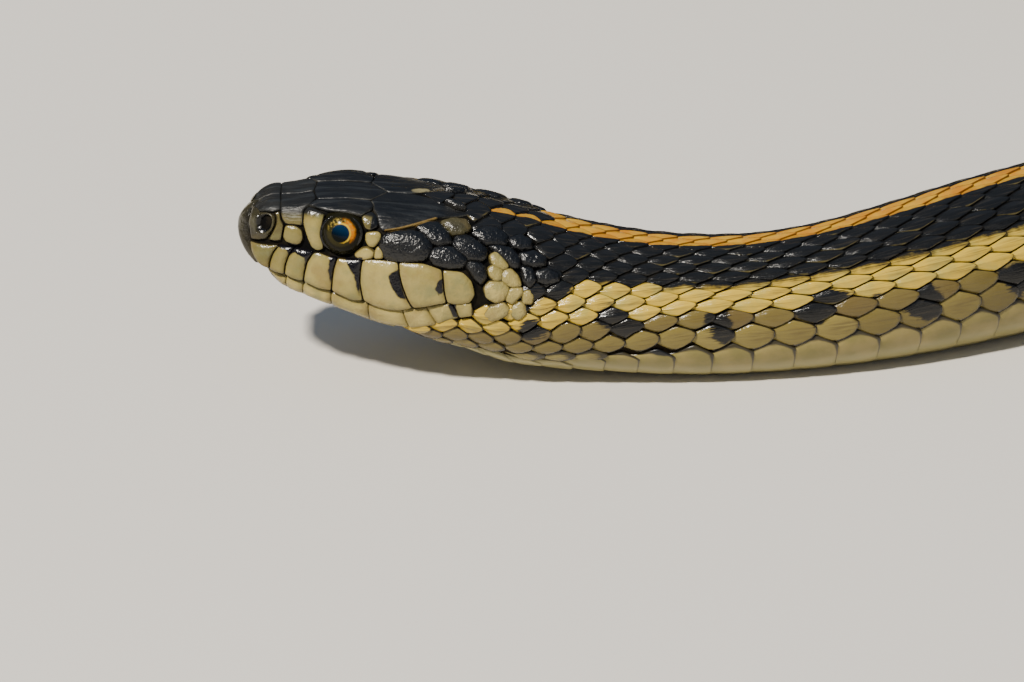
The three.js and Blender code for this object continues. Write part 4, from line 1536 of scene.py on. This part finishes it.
def dress_dark(look, colour, dark, lines, broad, wrinkle, seam_highlight):
    """Painted sheen along the wrinkles, and painted highlights in some of the seams."""
    # Painted sheen: the wrinkles are lighter in colour, as if they caught the light.
    painted_wrinkle_sheen = look.times(look.times(look.step_up(lines, 0.45, 0.66), wrinkle * 0.25), dark)
    colour = look.blend(painted_wrinkle_sheen, colour, WRINKLE_SHEEN_COLOUR)
    # Painted highlight: some seams of the dark plates are lighter, as if their edges caught the light.
    seam = look.times(look.step_up(look.value("edge"), 0.08, 0.0), look.times(dark, seam_highlight))
    seam = look.times(seam, look.step_up(broad, 0.4, 0.65))
    return look.blend(seam, colour, SEAM_HIGHLIGHT_COLOUR)


def dress_pale(look, colour, pale):
    """Greener and browner blotches, a duller edge and a dark seam."""
    edge, blotch = look.value("edge"), look.noise(520.0, 4.0)
    greenish = look.times(look.times(look.step_up(blotch, 0.50, 0.34), 0.55), pale)
    colour = look.blend(greenish, colour, GREENISH_COLOUR)
    brownish = look.times(look.times(look.step_up(blotch, 0.52, 0.68), 0.45), pale)
    colour = look.blend(brownish, colour, BROWNISH_COLOUR)
    dull = look.times(look.step_up(edge, 0.5, 0.1), 0.35)
    colour = look.blend(look.times(dull, pale), colour, DULL_EDGE_COLOUR)
    seam = look.times(look.step_up(edge, 0.11, 0.04), look.step_up(look.value("tone"), 0.96, 0.87))
    return look.blend(look.times(seam, pale), colour, SEAM_COLOUR)


def lay_marks(look, colour):
    """The tan line beside the crown, the black marks of the lips and the pale one of the crown."""
    fray = look.swing(look.noise(2500.0), 0.22)
    tan = look.times(look.step_up(look.value("tan_line"), 0.0, 0.1),
                     look.step_up(look.value("edge"), 0.3, 0.1))
    colour = look.blend(look.times(tan, 0.8), colour, TAN_COLOUR)
    marked = look.step_up(look.plus(look.value("mark"), fray), -0.06, 0.08)
    colour = look.blend(marked, colour, MARK_COLOUR)
    pale = look.step_up(look.plus(look.value("pale_mark"), fray), -0.05, 0.12)
    return look.blend(look.times(pale, 0.6), colour, PALE_MARK_COLOUR)


def make_plate_finish(name, roughness, wrinkle, pebbles, gloss, seam_highlight=0.0, pale_matt=0.0):
    """Horn of the head: how rough, wrinkled, pebbled and glossy it is, and how its seams look."""
    look = Finish(name)
    fine, broad = look.noise(900.0, 4.0), look.noise(330.0, 3.0)
    lines = look.noise(700.0, 3.0, (0.35, 3.0, 3.0))
    plate_tone = look.value("tone")
    dark = look.step_up(plate_tone, 0.5, 0.2)
    tone = look.plus(look.plus(plate_tone, look.swing(fine, 0.2)), look.swing(broad, 0.35))
    colour = dress_dark(look, tone_ramp(look, tone), dark, lines, broad, wrinkle, seam_highlight)
    colour = dress_pale(look, colour, look.maths("SUBTRACT", 1.0, dark))
    rough = look.between(fine, roughness, roughness + ROUGHNESS_RANGE)
    rough = look.maths("MULTIPLY_ADD", look.step_up(plate_tone, 0.06, 0.2), pale_matt, rough)
    height = look.plus(look.times(lines, wrinkle), look.times(fine, 0.6))
    height = look.plus(height, look.times(look.noise(3600.0, 3.0), pebbles))
    return look.shade({"Base Color": lay_marks(look, colour), "Roughness": rough,
                       "Specular IOR Level": gloss, "Normal": look.bump(height, 0.5, 0.00015)})


crown_finish = make_plate_finish("Charcoal plates", 0.32, 2.8, 0.3, 0.42, seam_highlight=0.6, pale_matt=0.14)
cheek_finish = make_plate_finish("Glossy cheek plates", 0.19, 0.2, 1.7, 0.50)
lip_finish = make_plate_finish("Pale lip plates", 0.14, 0.2, 0.6, 0.38)

# %% [markdown]
# ## Crown
# The top of the head has nine large plates with straight seams. The brow plates stand out over the
# eyes, and the middle of the crown is a little sunk. Each swelling is a small function that adds
# to a plate's height.

# %% Crown
FRONTAL = [(4.85, 0.0), (5.08, 0.44), (7.6, 0.365), (9.15, 0.35), (10.45, 0.0)]
TOP_PLATES = {
    "internasal": [(0.78, 0.0), (2.42, 0.0), (2.52, 0.93), (1.85, 1.06), (1.0, 0.97), (0.44, 0.33)],
    "prefrontal": [(2.42, 0.0), (4.82, 0.0), (5.05, 0.44), (4.5, 0.74), (4.15, 0.98),
                   (4.38, 1.41), (3.1, 1.43), (2.72, 1.27), (2.52, 0.93)],
    "brow": [(5.08, 0.46), (7.6, 0.385), (9.15, 0.37), (9.42, 0.52), (9.32, 0.68), (8.55, 0.97),
             (7.5, 0.985), (6.2, 0.98), (5.5, 0.93), (4.5, 0.76)],
    "parietal": [(9.17, 0.36), (10.45, 0.0), (12.1, 0.0), (13.5, 0.12), (15.2, 0.25), (16.9, 0.42),
                 (16.2, 0.52), (14.4, 0.66), (12.55, 0.92), (11.4, 1.08), (10.3, 1.22),
                 (9.98, 1.1), (9.7, 0.8), (9.4, 0.66), (9.42, 0.52)],
}
CROWN_MIDDLES = {"parietal": (12.0, 0.52), "prefrontal": (3.7, 0.62), "brow": (6.9, 0.7),
                 "internasal": (1.7, 0.5)}
CROWN_TONES = {"internasal": 0.14, "prefrontal": 0.10, "brow": 0.02, "parietal": 0.0}
CROWN_GROWTH = 0.05
CROWN_SINK = 0.15
BROW_RIDGE = 0.17
PREFRONTAL_OLIVE = 0.45


def crown_sink(s, place_round):
    """The middle of the crown lies a little deeper than the frame's own surface."""
    return -CROWN_SINK * (1 - smoothstep(place_round, 0.3, 0.75))


def brow_ridge(s, place_round):
    """The brow plate stands out over the eye."""
    return BROW_RIDGE * np.exp(-((place_round - 0.97) / 0.15) ** 2) + crown_sink(s, place_round)


def crown_group():
    whole_frontal = FRONTAL + [(s, -turn) for s, turn in FRONTAL[-2:0:-1]]
    crown = [(plate(whole_frontal, 0.05, middle=(7.2, 0.0), lift=crown_sink, grow=CROWN_GROWTH), 0.0)]
    for name, outline in TOP_PLATES.items():
        for side, corners in both_sides(outline):
            middle = (CROWN_MIDDLES[name][0], side * CROWN_MIDDLES[name][1])
            made = plate(corners, 0.06, middle=middle, lift=brow_ridge if name == "brow" else crown_sink,
                         grow=CROWN_GROWTH)
            tone = CROWN_TONES[name]
            if name == "prefrontal":
                tone = tone + PREFRONTAL_OLIVE * smoothstep(np.abs(made[2]["turn"]), 0.85, 1.35)
            crown.append((made, tone))
    return crown


crown = make_plates("crown_plates", crown_group(), crown_finish)

# %% [markdown]
# ## Snout and the surrounds of the eyes
# The rostral wraps round the snout's tip, so it is made of rings round that tip instead. Two plates
# share the nostril, a pit with a raised rim. Small plates stand before and behind the eye, and a
# thin ring of skin lies round its clear scale.

# %% Outlines of the snout's plates
SNOUT_PLATES = {
    "front_nasal": [(0.44, 0.33), (1.0, 0.97), (1.85, 1.08), (2.3, 1.22), (2.35, 1.5),
                    (2.1, 1.85), (1.9, 2.02), (0.78, 2.3), (0.35, 1.5)],
    "rear_nasal": [(1.85, 1.08), (2.52, 0.95), (2.72, 1.28), (3.05, 1.45), (3.1, 1.94),
                   (2.6, 2.02), (1.9, 2.02), (2.1, 1.85), (2.35, 1.5), (2.3, 1.22)],
    "loreal": [(3.12, 1.47), (3.24, 1.44), (3.88, 1.43), (4.40, 1.52), (4.60, 1.72), (4.46, 1.86),
               (4.04, 1.94), (3.48, 1.93), (3.14, 1.80)],
    "preocular": [(4.30, 1.0), (4.55, 0.84), (5.3, 0.95), (5.78, 1.06), (5.72, 1.32), (5.88, 1.5),
                  (6.04, 1.67), (6.25, 1.84), (5.8, 1.90), (5.4, 1.85), (5.0, 1.69), (4.68, 1.52),
                  (4.42, 1.35)],
    "postocular_1": [(8.6, 1.0), (8.92, 0.87), (9.32, 0.77), (9.74, 0.88), (9.92, 1.11), (9.5, 1.25),
                     (9.08, 1.26), (8.84, 1.17)],
    "postocular_2": [(9.10, 1.34), (9.56, 1.28), (10.04, 1.24), (10.30, 1.30), (10.28, 1.46),
                     (9.96, 1.64), (9.56, 1.64), (9.2, 1.52)],
    "postocular_3": [(8.6, 1.86), (9.08, 1.70), (9.5, 1.66), (10.04, 1.75), (10.06, 1.88),
                     (9.56, 1.95), (9.0, 1.97)],
    "little": [(10.10, 1.70), (10.25, 1.60), (10.68, 1.70), (10.78, 1.87), (10.14, 1.90)],
}
SNOUT_TONES = {"front_nasal": 0.28, "rear_nasal": 0.44, "loreal": 0.69, "preocular": 0.83,
               "postocular_1": 0.45, "postocular_2": 0.85, "postocular_3": 0.9, "little": 0.95}
SNOUT_RISES = {"front_nasal": 0.04, "rear_nasal": 0.05, "preocular": 0.16, "postocular_1": 0.12}
SMALL_RISE = 0.24
SMALL_GROWTH = 0.12
NOSTRIL = (1.55, 1.46)
NOSTRIL_LENGTH = 0.36
NOSTRIL_HEIGHT = 0.88
NOSTRIL_TURN_MM = 2.7
REAR_NASAL_MIDDLE = (2.6, 1.62)


def from_nostril(s, place_round):
    """How far a place is from the nostril's middle: 1 on its rim."""
    return np.hypot((even(s) - float(even(NOSTRIL[0]))) / NOSTRIL_LENGTH,
                    (place_round - NOSTRIL[1]) * NOSTRIL_TURN_MM / NOSTRIL_HEIGHT)


def nostril_pit(s, place_round):
    """A pit with a raised rim."""
    away = from_nostril(s, place_round)
    return -0.7 * (1 - smoothstep(away, 0.5, 1.0)) + 0.12 * np.exp(-((away - 1.15) / 0.14) ** 2)


print("plates on each side of the snout:", len(SNOUT_PLATES))

# %% Rings round the eyes, and the rostral
EYE_RING = 1.50
RING_THICKNESS = 0.15
RING_HEIGHT = 0.11
RING_SUNK = 0.03
RING_SIDES = 60
RING_TUBE_SIDES = 10
RING_EDGE = 0.5
ROSTRAL_SEAM_ROUND = [0.0, 0.33, 0.9, 1.5, 2.3, 2.6, 2.8, 3.6, 5.0]
ROSTRAL_SEAM_PLACE = [0.78, 0.44, 0.36, 0.35, 0.76, 1.05, 1.5, 2.0, 2.0]
ROSTRAL_SHARES = [1.0, 1.0, 0.96, 0.9, 0.75, 0.6, 0.45, 0.3, 0.15]
ROSTRAL_HEIGHTS = [-RIM_DEPTH, -0.085, -0.02, 0.0, 0.06, 0.12, 0.18, 0.23, 0.27]
ROSTRAL_SIDES = 72
TIP_EDGE = 0.6


def eye_ring(side):
    """The rim of skin round the clear scale of the eye: a tube bent to a ring."""
    clock = np.linspace(0, 2 * math.pi, RING_SIDES, endpoint=False)
    tube = np.linspace(0, 2 * math.pi, RING_TUBE_SIDES, endpoint=False)
    cc, uu = np.meshgrid(clock, tube, indexing="ij")
    away = EYE_RING + RING_THICKNESS * np.cos(uu)
    q = EYE_AT + away * np.cos(cc)
    turn = side * (EYE_ROUND + away * np.sin(cc) / turn_mm_at_eye)
    points = surface(q, turn, RING_HEIGHT * np.sin(uu) - RING_SUNK).reshape(-1, 3)
    faces = triangles(grid_faces(RING_SIDES, RING_TUBE_SIDES, closed=True, looped=True))
    # The corners run the other way round on the other side.
    return points, faces[:, ::-side], {"place": q.ravel(), "turn": turn.ravel(), "edge": RING_EDGE}


def rostral():
    """The plate on the snout's tip: rings round the tip out to the seams of its neighbours."""
    turns = np.linspace(-5, 5, ROSTRAL_SIDES, endpoint=False)
    reach = even(np.interp(np.abs(turns), ROSTRAL_SEAM_ROUND, ROSTRAL_SEAM_PLACE)) - PLATE_GAP
    shares, heights = np.array(ROSTRAL_SHARES)[:, None], np.array(ROSTRAL_HEIGHTS)[:, None]
    q = shares * reach[None]
    turn = np.broadcast_to(turns, q.shape)
    rings_round = surface(np.maximum(q, 0.02), turn, np.broadcast_to(heights, q.shape))
    points = np.concatenate([rings_round.reshape(-1, 3), [rings_round[-1].mean(0)]])
    last = (len(shares) - 1) * ROSTRAL_SIDES
    faces = np.concatenate([triangles(grid_faces(len(shares), ROSTRAL_SIDES, closed=True)),
                            fan(len(points) - 1, last, ROSTRAL_SIDES)])[:, ::-1]
    edge = np.append(((1 - shares) * reach[None]).ravel(), TIP_EDGE)
    return points, faces, {"place": np.append(uneven(q).ravel(), 0.0),
                           "turn": np.append(turn.ravel(), 0.0), "edge": edge}


snout_tip_plate = rostral()
eye_rings = [eye_ring(1), eye_ring(-1)]
print("the rostral has", len(snout_tip_plate[1]), "faces, and an eye's ring", len(eye_rings[0][1]))

# %% Snout
ROSTRAL_TONE = 0.24
EYE_RING_TONE = 0.05


def snout_plate(name, side, corners):
    """One plate of the snout with its tone, which is darker over the eye, and darkened in the nostril as
    painted shade in its pit.
    """
    rise, tone = SNOUT_RISES.get(name, SMALL_RISE), SNOUT_TONES[name]
    if name == "front_nasal":
        made = plate(corners, rise, middle=(NOSTRIL[0], side * NOSTRIL[1]), lift=nostril_pit)
    elif name == "rear_nasal":
        made = plate(corners, rise, middle=(REAR_NASAL_MIDDLE[0], side * REAR_NASAL_MIDDLE[1]))
    else:
        made = plate(corners, rise, grow=SMALL_GROWTH)
    place, place_round = made[2]["place"], np.abs(made[2]["turn"])
    # Painted shade: the nostril's pit is darkened in the colour.
    if name == "front_nasal":
        tone = tone - 0.8 * (1 - smoothstep(from_nostril(place, place_round), 0.8, 1.0))
    if name == "preocular":
        tone = tone - 0.7 * (1 - smoothstep(place_round, 1.0, 1.25))
    if name == "postocular_1":
        upper = 1 - smoothstep(place_round, 0.85, 1.0)
        tone = tone - 0.45 * np.maximum(smoothstep(place, 9.3, 9.5), upper)
    return made, tone


snout_group = [(snout_tip_plate, ROSTRAL_TONE)] + [(ring, EYE_RING_TONE) for ring in eye_rings]
snout_group += [snout_plate(name, side, corners) for name, outline in SNOUT_PLATES.items()
                for side, corners in both_sides(outline)]
snout = make_plates("snout_plates", snout_group, lip_finish)

# %% [markdown]
# ## Cheeks and nape
# Behind the eyes lie the temporals, and behind them rounded scales lead over to the rows of the
# body. They swell more than the crown's plates and shine like wet stone. Some of them are pale.

# %% Cheeks
CHEEK_PLATES = {
    "temporal_1": [(10.28, 1.59), (10.36, 1.38), (10.76, 1.24), (11.56, 1.12), (12.52, 1.04), (13.4, 1.08),
                   (14.04, 1.24), (14.28, 1.41), (14.12, 1.64), (13.72, 1.80), (12.68, 1.87),
                   (11.56, 1.90), (10.84, 1.85)],
    "temporal_2": [(12.8, 0.93), (13.64, 0.79), (14.44, 0.76), (15.35, 0.98), (15.74, 1.22),
                   (14.76, 1.34), (14.0, 1.29), (13.4, 1.12)],
    "temporal_3": [(14.12, 1.70), (14.36, 1.44), (15.0, 1.33), (15.8, 1.31), (16.84, 1.46), (17.14, 1.57),
                   (16.8, 1.73), (15.9, 1.83), (14.68, 1.84)],
    "temporal_4": [(14.65, 0.74), (15.56, 0.62), (16.6, 0.62), (17.05, 0.80), (16.4, 0.98), (15.56, 1.01)],
    "temporal_5": [(15.74, 1.24), (15.9, 1.04), (16.68, 0.97), (17.72, 1.07), (18.48, 1.22), (18.46, 1.40),
                   (17.96, 1.52), (17.1, 1.53), (16.12, 1.41)],
    "temporal_6": [(17.05, 1.69), (17.25, 1.56), (17.96, 1.52), (18.56, 1.58), (18.76, 1.78), (18.45, 1.97),
                   (17.8, 1.90)],
    "nape_0": [(14.75, 0.23), (15.3, 0.18), (16.2, 0.25), (16.5, 0.36), (15.7, 0.37)],
    "nape_1": [(17.1, 0.89), (18.0, 0.68), (19.08, 0.64), (19.96, 0.80), (19.88, 1.03), (19.0, 1.08),
               (18.12, 1.10)],
    "nape_2": [(18.52, 1.14), (19.24, 1.06), (20.28, 1.05), (21.0, 1.18), (21.2, 1.40), (20.68, 1.46),
               (20.12, 1.38), (19.08, 1.22)],
    "nape_3": [(19.95, 0.86), (20.76, 0.67), (21.8, 0.76), (21.9, 0.96), (21.0, 1.04), (20.3, 1.02)],
    "nape_4": [(20.95, 1.12), (22.0, 0.98), (23.1, 1.07), (23.1, 1.26), (22.2, 1.34), (21.35, 1.33)],
    "nape_5": [(22.36, 1.43), (23.16, 1.29), (24.28, 1.35), (24.4, 1.52), (23.48, 1.64), (22.68, 1.62)],
    "nape_6": [(21.2, 1.38), (22.14, 1.37), (22.6, 1.60), (22.2, 1.79), (21.55, 1.66)],
}
PALE_CHEEK_PLATES = [
    [(18.72, 1.33), (19.2, 1.21), (19.88, 1.33), (20.34, 1.46), (19.9, 1.55), (19.06, 1.50)],
    [(18.76, 1.61), (19.04, 1.51), (19.92, 1.56), (19.94, 1.75), (19.5, 1.81), (18.98, 1.74)],
    [(19.94, 1.57), (20.5, 1.48), (21.2, 1.60), (21.54, 1.78), (20.76, 1.85), (19.98, 1.77)],
    [(18.76, 2.04), (19.06, 1.86), (20.1, 1.79), (20.68, 1.89), (20.52, 2.13), (19.9, 2.27), (19.08, 2.22)],
    [(20.72, 1.88), (21.66, 1.81), (21.76, 1.93), (21.1, 2.2), (20.58, 2.15)],
    [(21.76, 1.89), (22.2, 1.82), (22.6, 1.93), (22.6, 2.1), (21.9, 2.12)],
    [(21.14, 2.26), (21.7, 2.10), (22.1, 2.15), (22.34, 2.32), (21.9, 2.5), (21.3, 2.46)],
    [(19.2, 2.62), (19.48, 2.42), (20.45, 2.21), (21.0, 2.30), (20.9, 2.46), (19.8, 2.68)],
]
CHEEK_GROWTH = 0.17
CHEEK_RISE = 0.36
PALE_CHEEK_RISE = 0.24
PALE_CHEEK_TONE = 0.9
OLIVE_ON_LEFT = "temporal_4"
OLIVE_TONE = 0.3


def cheek_tone(name, side):
    """Black, but for one temporal of the left side that is olive."""
    return OLIVE_TONE if name == OLIVE_ON_LEFT and side > 0 else 0.0


cheek_group = [(plate(corners, CHEEK_RISE, grow=CHEEK_GROWTH), cheek_tone(name, side))
               for name, outline in CHEEK_PLATES.items() for side, corners in both_sides(outline)]
cheek_group += [(plate(corners, PALE_CHEEK_RISE, grow=CHEEK_GROWTH), PALE_CHEEK_TONE)
                for outline in PALE_CHEEK_PLATES for side, corners in both_sides(outline)]
cheeks = make_plates("cheek_plates", cheek_group, cheek_finish)

# %% [markdown]
# ## Lips
# Eight plates stand side by side along each edge of the mouth. Neighbours share a seam, so the
# seams are given and each plate is closed between two of them. The upper lip stands out a little
# over the lower one, which makes the line of the mouth.

# %% Lips
# Seams between the lip plates, from the snout back: each from its upper end to the mouth.
UPPER_LIP_SEAMS = [
    [(0.78, 2.31), (1.05, 2.6)],
    [(2.98, 2.06), (2.64, 2.35), (2.56, 2.58), (2.64, 2.84)],
    [(4.12, 1.99), (3.82, 2.31), (3.76, 2.55), (3.88, 2.84)],
    [(5.60, 1.95), (5.28, 2.25), (5.26, 2.56), (5.36, 2.82)],
    [(7.42, 1.99), (7.34, 2.29), (7.40, 2.52), (7.56, 2.83)],
    [(9.28, 1.96), (9.32, 2.23), (9.48, 2.49), (10.05, 2.88)],
    [(11.96, 1.92), (12.20, 2.19), (12.60, 2.43), (13.24, 2.70), (13.8, 2.89)],
    [(15.30, 1.90), (15.56, 2.17), (15.80, 2.43), (16.2, 2.70)],
    [(16.9, 1.83), (17.75, 1.97), (18.22, 2.25), (17.96, 2.50), (17.3, 2.64)],
]
# Between two seams the plate's upper and lower edges pass through these places.
UPPER_LIP_TOPS = [[(1.78, 2.16)], [(3.48, 2.05)], [(4.76, 1.96)], [(6.12, 1.93), (6.84, 1.99)],
                  [(7.88, 1.99), (8.60, 1.97)], [(10.04, 1.92), (10.84, 1.91)],
                  [(12.84, 1.90), (13.88, 1.86)], [(16.04, 1.86)]]
UPPER_LIP_BOTTOMS = [[(1.75, 2.80)], [(3.2, 2.87)], [(4.6, 2.87)], [(6.5, 2.89)], [(8.68, 2.92), (9.3, 2.95)],
                     [(10.9, 2.98), (11.8, 3.02), (12.8, 3.0)], [(14.84, 2.83)], [(16.8, 2.70)]]
LOWER_LIP_SEAMS = [
    [(2.5, 3.08), (2.45, 3.62)], [(3.95, 2.93), (4.3, 3.85)],
    [(5.3, 2.88), (5.6, 3.85)], [(7.5, 2.90), (7.9, 3.85)], [(10.4, 2.96), (10.9, 3.85)],
    [(13.0, 2.98), (13.9, 3.62)], [(14.76, 2.88), (15.2, 3.1), (15.9, 3.36)],
    [(16.6, 2.70), (17.1, 2.86), (17.4, 3.02)], [(18.1, 2.48), (18.45, 2.76)]]
UPPER_LIP_TONES = [0.54, 0.70, 0.73, 0.84, 0.83, 0.86, 0.86, 0.84]
LOWER_LIP_TONE = 0.93
UPPER_LIP_RISE = 0.26
LOWER_LIP_RISE = 0.16
LIP_GROWTH = 0.06
LIP_SOFTNESS = 0.16


def lip_edge(s, place_round):
    """The upper lip stands out a little over the mouth."""
    return 0.12 * smoothstep(place_round, 2.4, 2.85)


def lip_below(s, place_round):
    """The lower lip lies back under the upper one, and further back at the snout's tip."""
    under = -0.14 * (1 - smoothstep(place_round, 2.9, 3.25)) * (s < 16)
    return under - 0.25 * (1 - smoothstep(s, 2.8, 4.2))


def lip_group():
    lips = []
    for number, (seam_a, seam_b) in enumerate(zip(UPPER_LIP_SEAMS, UPPER_LIP_SEAMS[1:])):
        outline = seam_a[::-1] + UPPER_LIP_TOPS[number] + seam_b + UPPER_LIP_BOTTOMS[number][::-1]
        for side, corners in both_sides(outline):
            made = plate(corners, UPPER_LIP_RISE, lift=lip_edge, softness=LIP_SOFTNESS, grow=LIP_GROWTH)
            lips.append((made, UPPER_LIP_TONES[number]))
    for seam_a, seam_b in zip(LOWER_LIP_SEAMS, LOWER_LIP_SEAMS[1:]):
        for side, corners in both_sides(seam_a[::-1] + seam_b):
            made = plate(corners, LOWER_LIP_RISE, lift=lip_below, softness=LIP_SOFTNESS, grow=LIP_GROWTH)
            lips.append((made, LOWER_LIP_TONE))
    return lips


lips = make_plates("lip_plates", lip_group(), lip_finish)

# %% [markdown]
# ## Chin
# A small mental plate closes the tip of the lower jaw, and two pairs of long plates lie behind it.

# %% Chin
MENTAL = [(2.05, 4.1), (2.2, 3.72), (2.55, 3.74), (3.3, 4.2), (3.8, 4.6), (4.1, 5.0), (3.8, 5.4),
          (3.3, 5.8), (2.55, 6.26), (2.2, 6.28), (2.05, 5.9), (2.0, 5.0)]
CHIN_PLATES = {
    "chin_1": [(2.75, 3.8), (4.2, 3.9), (7.8, 3.9), (8.4, 4.3), (8.2, 4.96), (4.35, 4.97),
               (3.8, 4.5), (3.2, 4.05)],
    "chin_2": [(8.0, 3.9), (10.8, 3.9), (13.0, 4.15), (13.3, 4.5), (12.0, 4.8), (9.0, 4.97),
               (8.3, 4.97), (8.5, 4.3)],
}
CHIN_TONE = 0.95
MENTAL_RISE = 0.05
CHIN_RISE = 0.12

chin_group = [(plate(MENTAL, MENTAL_RISE, middle=(2.8, 5.0)), CHIN_TONE)]
chin_group += [(plate(corners, CHIN_RISE), CHIN_TONE)
               for outline in CHIN_PLATES.values() for side, corners in both_sides(outline)]
chin = make_plates("chin_plates", chin_group, lip_finish)

# %% [markdown]
# ## Floor and light
# A plain pale floor and soft light show the model as a museum would. The main light comes from
# the front left, as in the photo, and cool light from the sky above fills the shadows.

# %% Floor
FLOOR_SIZE = 6000.0
FLOOR_COLOUR = (0.58, 0.55, 0.50, 1)
FLOOR_PALE_COLOUR = (0.64, 0.61, 0.56, 1)


def make_floor():
    half = FLOOR_SIZE / 2
    corners = [[-half, -half, 0], [half, -half, 0], [half, half, 0], [-half, half, 0]]
    floor = make_object("floor", corners, [[0, 1, 2, 3]])
    look = Finish("Pale floor")
    colour = look.blend(look.noise(8.0), FLOOR_COLOUR, FLOOR_PALE_COLOUR)
    floor.data.materials.append(look.shade({"Base Color": colour, "Roughness": 0.85}))
    return floor


floor = make_floor()
print("floor:", FLOOR_SIZE / 1000, "m wide")

# %% Lights
SKY_LOW_COLOUR = (0.12, 0.12, 0.12, 1)
SKY_HIGH_COLOUR = (0.62, 0.80, 1.1, 1)
SKY_HIGH_AT = 0.8
SKY_STRENGTH = 0.38


def add_light(name, azimuth, elevation, distance, size, power, colour):
    """An area light that looks at the snake's neck. Azimuth 0 is the camera's side."""
    data = bpy.data.lights.new(name, "AREA")
    data.shape = "DISK"
    data.size = size
    data.energy = power
    data.color = colour
    light = new_object(name, data)
    a, e = math.radians(azimuth), math.radians(elevation)
    away = np.array([math.sin(a) * math.cos(e), -math.cos(a) * math.cos(e), math.sin(e)])
    light.location = centre(TIED_PLACE) * MM + away * distance
    light.rotation_euler = (math.pi / 2 - e, 0, a)
    return light


def make_world():
    """Soft light from all round, brighter and bluer overhead."""
    world = bpy.data.worlds.new("Studio")
    world.use_nodes = True
    tree = world.node_tree
    ways = add_node(tree, "ShaderNodeTexCoord").outputs["Generated"]
    parted = add_node(tree, "ShaderNodeSeparateXYZ", {0: ways})
    ramp = add_node(tree, "ShaderNodeValToRGB", {"Fac": parted.outputs["Z"]})
    ramp.color_ramp.elements[0].color = SKY_LOW_COLOUR
    ramp.color_ramp.elements[1].color = SKY_HIGH_COLOUR
    ramp.color_ramp.elements[1].position = SKY_HIGH_AT
    fill(tree, tree.nodes["Background"], {"Color": ramp.outputs["Color"], "Strength": SKY_STRENGTH})
    bpy.context.scene.world = world
    return world


key = add_light("Key", -42, 54, 1.2, 0.10, 31.0, (1.0, 0.94, 0.84))
front = add_light("Front", 25, 18, 1.6, 0.8, 1.5, (1.0, 0.97, 0.92))
world = make_world()
print("lights:", key.name, front.name, "and the world", world.name)

# %% [markdown]
# ## Tie the pieces to the frame
# Every piece rides on the one body of the still model. The skin stands for all the flesh.

# %% Ride and replace
flesh = [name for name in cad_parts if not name.startswith("eye")]
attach(skin, "root")
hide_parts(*flesh)
for piece in coats:
    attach(piece, "root")
for piece in belly:
    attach(piece, "root")
for piece in (crown, snout, cheeks):
    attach(piece, "root")
for piece in (lips, chin):
    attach(piece, "root")
